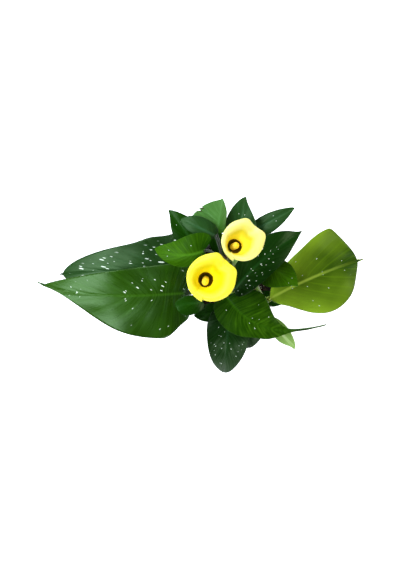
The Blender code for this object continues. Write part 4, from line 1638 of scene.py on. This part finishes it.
def arc(centre, radius, start, stop, steps=5):
    """Points round a fillet: its centre, radius, and first and last angles in degrees."""
    angles = [math.radians(start + (stop - start) * i / steps) for i in range(steps + 1)]
    return [(centre[0] + radius * math.cos(a), centre[1] + radius * math.sin(a)) for a in angles]


rim_radius, rim_foot = POT_DIAMETER / 2, POT_HEIGHT - RIM_DEPTH
inner_top = pot_wall_radius(POT_HEIGHT) - POT_WALL
section = [(0.0, POT_FLOOR), (pot_wall_radius(POT_FLOOR) - POT_WALL - 0.002, POT_FLOOR)]
section += arc((pot_wall_radius(0.005) - POT_WALL - 0.002, POT_FLOOR + 0.002), 0.002, -90, -5)
section += [(pot_wall_radius(h) - POT_WALL, h) for h in (0.03, 0.06, 0.09, 0.104)]
section += arc((inner_top + 0.0012, POT_HEIGHT - 0.0012), 0.0012, 180, 90)
section += arc((rim_radius - 0.0012, POT_HEIGHT - 0.0012), 0.0012, 90, 0)
section += [(rim_radius - 0.0003, POT_HEIGHT - 0.006), (rim_radius - 0.0003, rim_foot + 0.004)]
section += arc((rim_radius - 0.0010, rim_foot + 0.0010), 0.0010, 0, -90)
section += arc((pot_wall_radius(rim_foot) + 0.0006, rim_foot - 0.0006), 0.0006, 90, 180, 3)
stack_step = POT_HEIGHT * 0.72
section += [(pot_wall_radius(h), h) for h in (0.094, stack_step + 0.001)]
section += [(pot_wall_radius(stack_step) - 0.0005, stack_step - 0.0002)]
section += [(pot_wall_radius(h) - 0.0005, h) for h in (0.07, 0.055, 0.04, 0.025, 0.012, 0.006)]
section += arc((POT_BASE_DIAMETER / 2 - 0.0012, 0.0012), 0.0012, 0, -90)
section += [(POT_BASE_DIAMETER / 2 - 0.006, 0.0), (POT_BASE_DIAMETER / 2 - 0.007, 0.0008), (0.0, 0.0008)]
shape = bmesh.new()
rings = []
for radius, height in section:
    ring = []
    for j in range(POT_SIDES):
        turn = math.tau * j / POT_SIDES
        on_wall = 0.006 < height < rim_foot - 0.002 and radius > pot_wall_radius(height) - 0.001
        seam = 0.00018 * math.exp(-((((turn + 0.3) % math.pi) - 0.15) / 0.012) ** 2) if on_wall else 0.0
        out = radius + seam
        ring.append(shape.verts.new((out * math.cos(turn), out * math.sin(turn), height)))
    rings.append(ring)
join_rings(shape, rings, caps=False)
bmesh.ops.remove_doubles(shape, verts=shape.verts, dist=0.00001)
bmesh.ops.recalc_face_normals(shape, faces=shape.faces)
pot = new_object("grower_pot", shape)

hole_ring = POT_BASE_DIAMETER / 2 - POT_WALL - 2 * DRAIN_HOLE_RADIUS
shape = bmesh.new()
for i in range(DRAIN_HOLES):
    angle = math.tau * (i + 0.5) / DRAIN_HOLES
    place = Matrix.Translation((hole_ring * math.cos(angle), hole_ring * math.sin(angle), POT_FLOOR / 2))
    bmesh.ops.create_cone(
        shape, cap_ends=True, segments=32, radius1=DRAIN_HOLE_RADIUS, radius2=DRAIN_HOLE_RADIUS,
        depth=DRILL_LENGTH, matrix=place,
    )
drill = new_object("drain_drill", shape)
bpy.context.view_layer.objects.active = pot
holes = pot.modifiers.new("drain_holes", "BOOLEAN")
holes.object = drill
holes.solver = "EXACT"
bpy.ops.object.modifier_apply(modifier="drain_holes")
bpy.data.objects.remove(drill)
pot.data.shade_smooth()
pot.data.materials.append(moulded_skin())
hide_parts("pot")
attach(pot, "root")
print_gap(pot, "pot")

# %% [markdown]
# ## Potting mix
#
# Peat settles into crumbs with a few bark chips and white perlite grains. The surface is a disc pushed up
# and down by noise, and the loose bits are real small meshes scattered on it, because their shadows and
# outlines are what the eye takes for soil. A seeded random keeps them in the same places every time.

# %% Potting mix
def crumb_skin(name, dark, light, roughness, grain):
    """A dry, broken material whose tone changes from grain to grain."""
    material, shader = new_material(name, roughness, ior=1.35)
    place = add_node(material, "ShaderNodeTexCoord").outputs["Object"]
    clods = add_node(
        material, "ShaderNodeTexNoise", {"Vector": place, "Scale": 1 / grain, "Detail": 6.0, "Roughness": 0.7}
    )
    shade = add_node(
        material, "ShaderNodeValToRGB", {"Fac": clods.outputs["Fac"]},
        stops=[(0.35, colour(dark)), (0.68, colour(light))],
    )
    material.node_tree.links.new(shade.outputs["Color"], shader.inputs["Base Color"])
    relief = add_node(
        material, "ShaderNodeBump", {"Height": clods.outputs["Fac"], "Strength": 0.8, "Distance": grain * 0.4}
    )
    material.node_tree.links.new(relief.outputs[0], shader.inputs["Normal"])
    return material


PEAT = crumb_skin("damp peat", "#0C0805", "#2C1E14", 0.95, 0.004)
BARK = crumb_skin("composted bark", "#20120A", "#523521", 0.85, 0.003)
PERLITE = crumb_skin("perlite", "#BDB9AE", "#F1EEE6", 0.9, 0.002)

TUBER_RADIUS = 0.040
TUBER_HEIGHT = 0.028
SOIL_MOUND = 0.0015
SOIL_RINGS = 34
SOIL_SIDES = 140


def soil_height(x, y):
    """The peat's surface: settled low at the pot's wall, with lumps a centimetre and a millimetre wide."""
    from_axis = math.hypot(x, y)
    edge = SOIL_TOP - SOIL_MOUND
    mound = SOIL_MOUND * (1 - smooth(from_axis, 0.030, 0.058))
    lumps = 0.0011 * noise.noise(Vector((x * 110, y * 110, 3.1)))
    lumps += 0.0006 * noise.noise(Vector((x * 420, y * 420, 7.7)))
    return edge + mound + lumps


shape = bmesh.new()
inner_radius = pot_wall_radius(SOIL_TOP) - POT_WALL - 0.0003
rings = []
for i in range(SOIL_RINGS + 1):
    radius = inner_radius * (0.10 + 0.90 * i / SOIL_RINGS)
    ring = []
    for j in range(SOIL_SIDES):
        turn = math.tau * j / SOIL_SIDES
        x, y = radius * math.cos(turn), radius * math.sin(turn)
        sunk = 0.004 * (1 - smooth(radius, TUBER_RADIUS - 0.008, TUBER_RADIUS - 0.001))
        ring.append(shape.verts.new((x, y, soil_height(x, y) - sunk)))
    rings.append(ring)
foot = POT_FLOOR + 0.0003
for height in (0.06, 0.02, foot):
    radius = pot_wall_radius(height) - POT_WALL - 0.0008
    turns = [math.tau * j / SOIL_SIDES for j in range(SOIL_SIDES)]
    rings.append([shape.verts.new((radius * math.cos(turn), radius * math.sin(turn), height)) for turn in turns])
join_rings(shape, rings, downward=True)

draw = random.Random(11)


def scatter(count, size, flatness, slot_index):
    """Broken bits on the peat, between the tuber and the wall: squashed, jittered little solids."""
    for _ in range(count):
        turn = draw.uniform(0, math.tau)
        from_axis = math.sqrt(draw.uniform(0.36, 1.0)) * (inner_radius - 0.002)
        x, y = from_axis * math.cos(turn), from_axis * math.sin(turn)
        radius = size * draw.uniform(0.5, 1.0)
        lift = soil_height(x, y) + radius * flatness * 0.3
        spin_angle = draw.uniform(0, math.tau)
        spin_axis = Vector((draw.uniform(-0.4, 0.4), draw.uniform(-0.4, 0.4), 1))
        spin = Matrix.Rotation(spin_angle, 4, spin_axis)
        squash = Matrix.Diagonal((1.0, draw.uniform(0.5, 0.9), flatness, 1.0))
        matrix = Matrix.Translation((x, y, lift)) @ spin @ squash
        made = bmesh.ops.create_icosphere(shape, subdivisions=1, radius=radius, matrix=matrix)
        for vertex in made["verts"]:
            vertex.co += Vector([draw.uniform(-0.22, 0.22) * radius for _ in range(3)])
        for face in {face for vertex in made["verts"] for face in vertex.link_faces}:
            face.material_index = slot_index


scatter(420, 0.0017, 0.7, 0)
scatter(130, 0.0032, 0.35, 1)
scatter(60, 0.0012, 0.8, 2)
soil = new_object("peat_mix", shape, PEAT, BARK, PERLITE)
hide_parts("potting_soil")
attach(soil, "root")
print_gap(soil, "potting_soil")

# %% [markdown]
# ## Tuber
#
# The tuber is a flattened, knobbly disc with a corky brown skin, ringed with old leaf scars. Its flat top
# stays level, because the shoots stand on it. Noise pushes its side in and out, and rings run round it.

# %% Tuber
def cork_skin():
    """Corky tuber skin: dull brown, cracked in fine rings."""
    material, shader = new_material("corky tuber skin", 0.85, ior=1.38)
    place = add_node(material, "ShaderNodeTexCoord").outputs["Object"]
    cork = add_node(
        material, "ShaderNodeTexNoise", {"Vector": place, "Scale": 260.0, "Detail": 5.0, "Roughness": 0.65}
    )
    shade = add_node(
        material, "ShaderNodeValToRGB", {"Fac": cork.outputs["Fac"]},
        stops=[(0.30, colour("#33200F")), (0.55, colour("#6B4A2C")), (0.80, colour("#94714A"))],
    )
    material.node_tree.links.new(shade.outputs["Color"], shader.inputs["Base Color"])
    relief = add_node(
        material, "ShaderNodeBump", {"Height": cork.outputs["Fac"], "Strength": 0.7, "Distance": 0.0008}
    )
    material.node_tree.links.new(relief.outputs[0], shader.inputs["Normal"])
    return material


TUBER_SIDES = 96
tuber_top = SOIL_TOP + GAP
outline = [(0.02, 1.0), (0.3, 1.0), (0.6, 1.0), (0.82, 0.995), (0.92, 0.97), (0.97, 0.90), (0.995, 0.80)]
outline += [(1.0, 0.68), (0.985, 0.5), (0.93, 0.33), (0.82, 0.19), (0.66, 0.09)]
outline += [(0.45, 0.02), (0.2, 0.0), (0.02, 0.0)]
shape = bmesh.new()
rings = []
for out, up in outline:
    ring = []
    for j in range(TUBER_SIDES):
        turn = math.tau * j / TUBER_SIDES
        knob = noise.noise(Vector((math.cos(turn) * 2.2, math.sin(turn) * 2.2, up * 2.0))) - 0.6
        scar = 0.0004 * math.cos(out * 70)
        radius = TUBER_RADIUS * out * (1 + 0.035 * min(knob, 0.0) * smooth(out, 0.6, 1.0))
        sink = (0.0004 + scar) * smooth(out, 0.1, 0.3) * smooth(up, 0.9, 1.0)
        height = tuber_top - TUBER_HEIGHT * (1 - up) - sink
        ring.append(shape.verts.new((radius * math.cos(turn), radius * math.sin(turn), height)))
    rings.append(ring)
join_rings(shape, rings, downward=True)
crown = new_object("tuber_crown", shape, cork_skin())
crown.data.shade_smooth()
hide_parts("tuber")
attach(crown, "root")
print_gap(crown, "tuber")
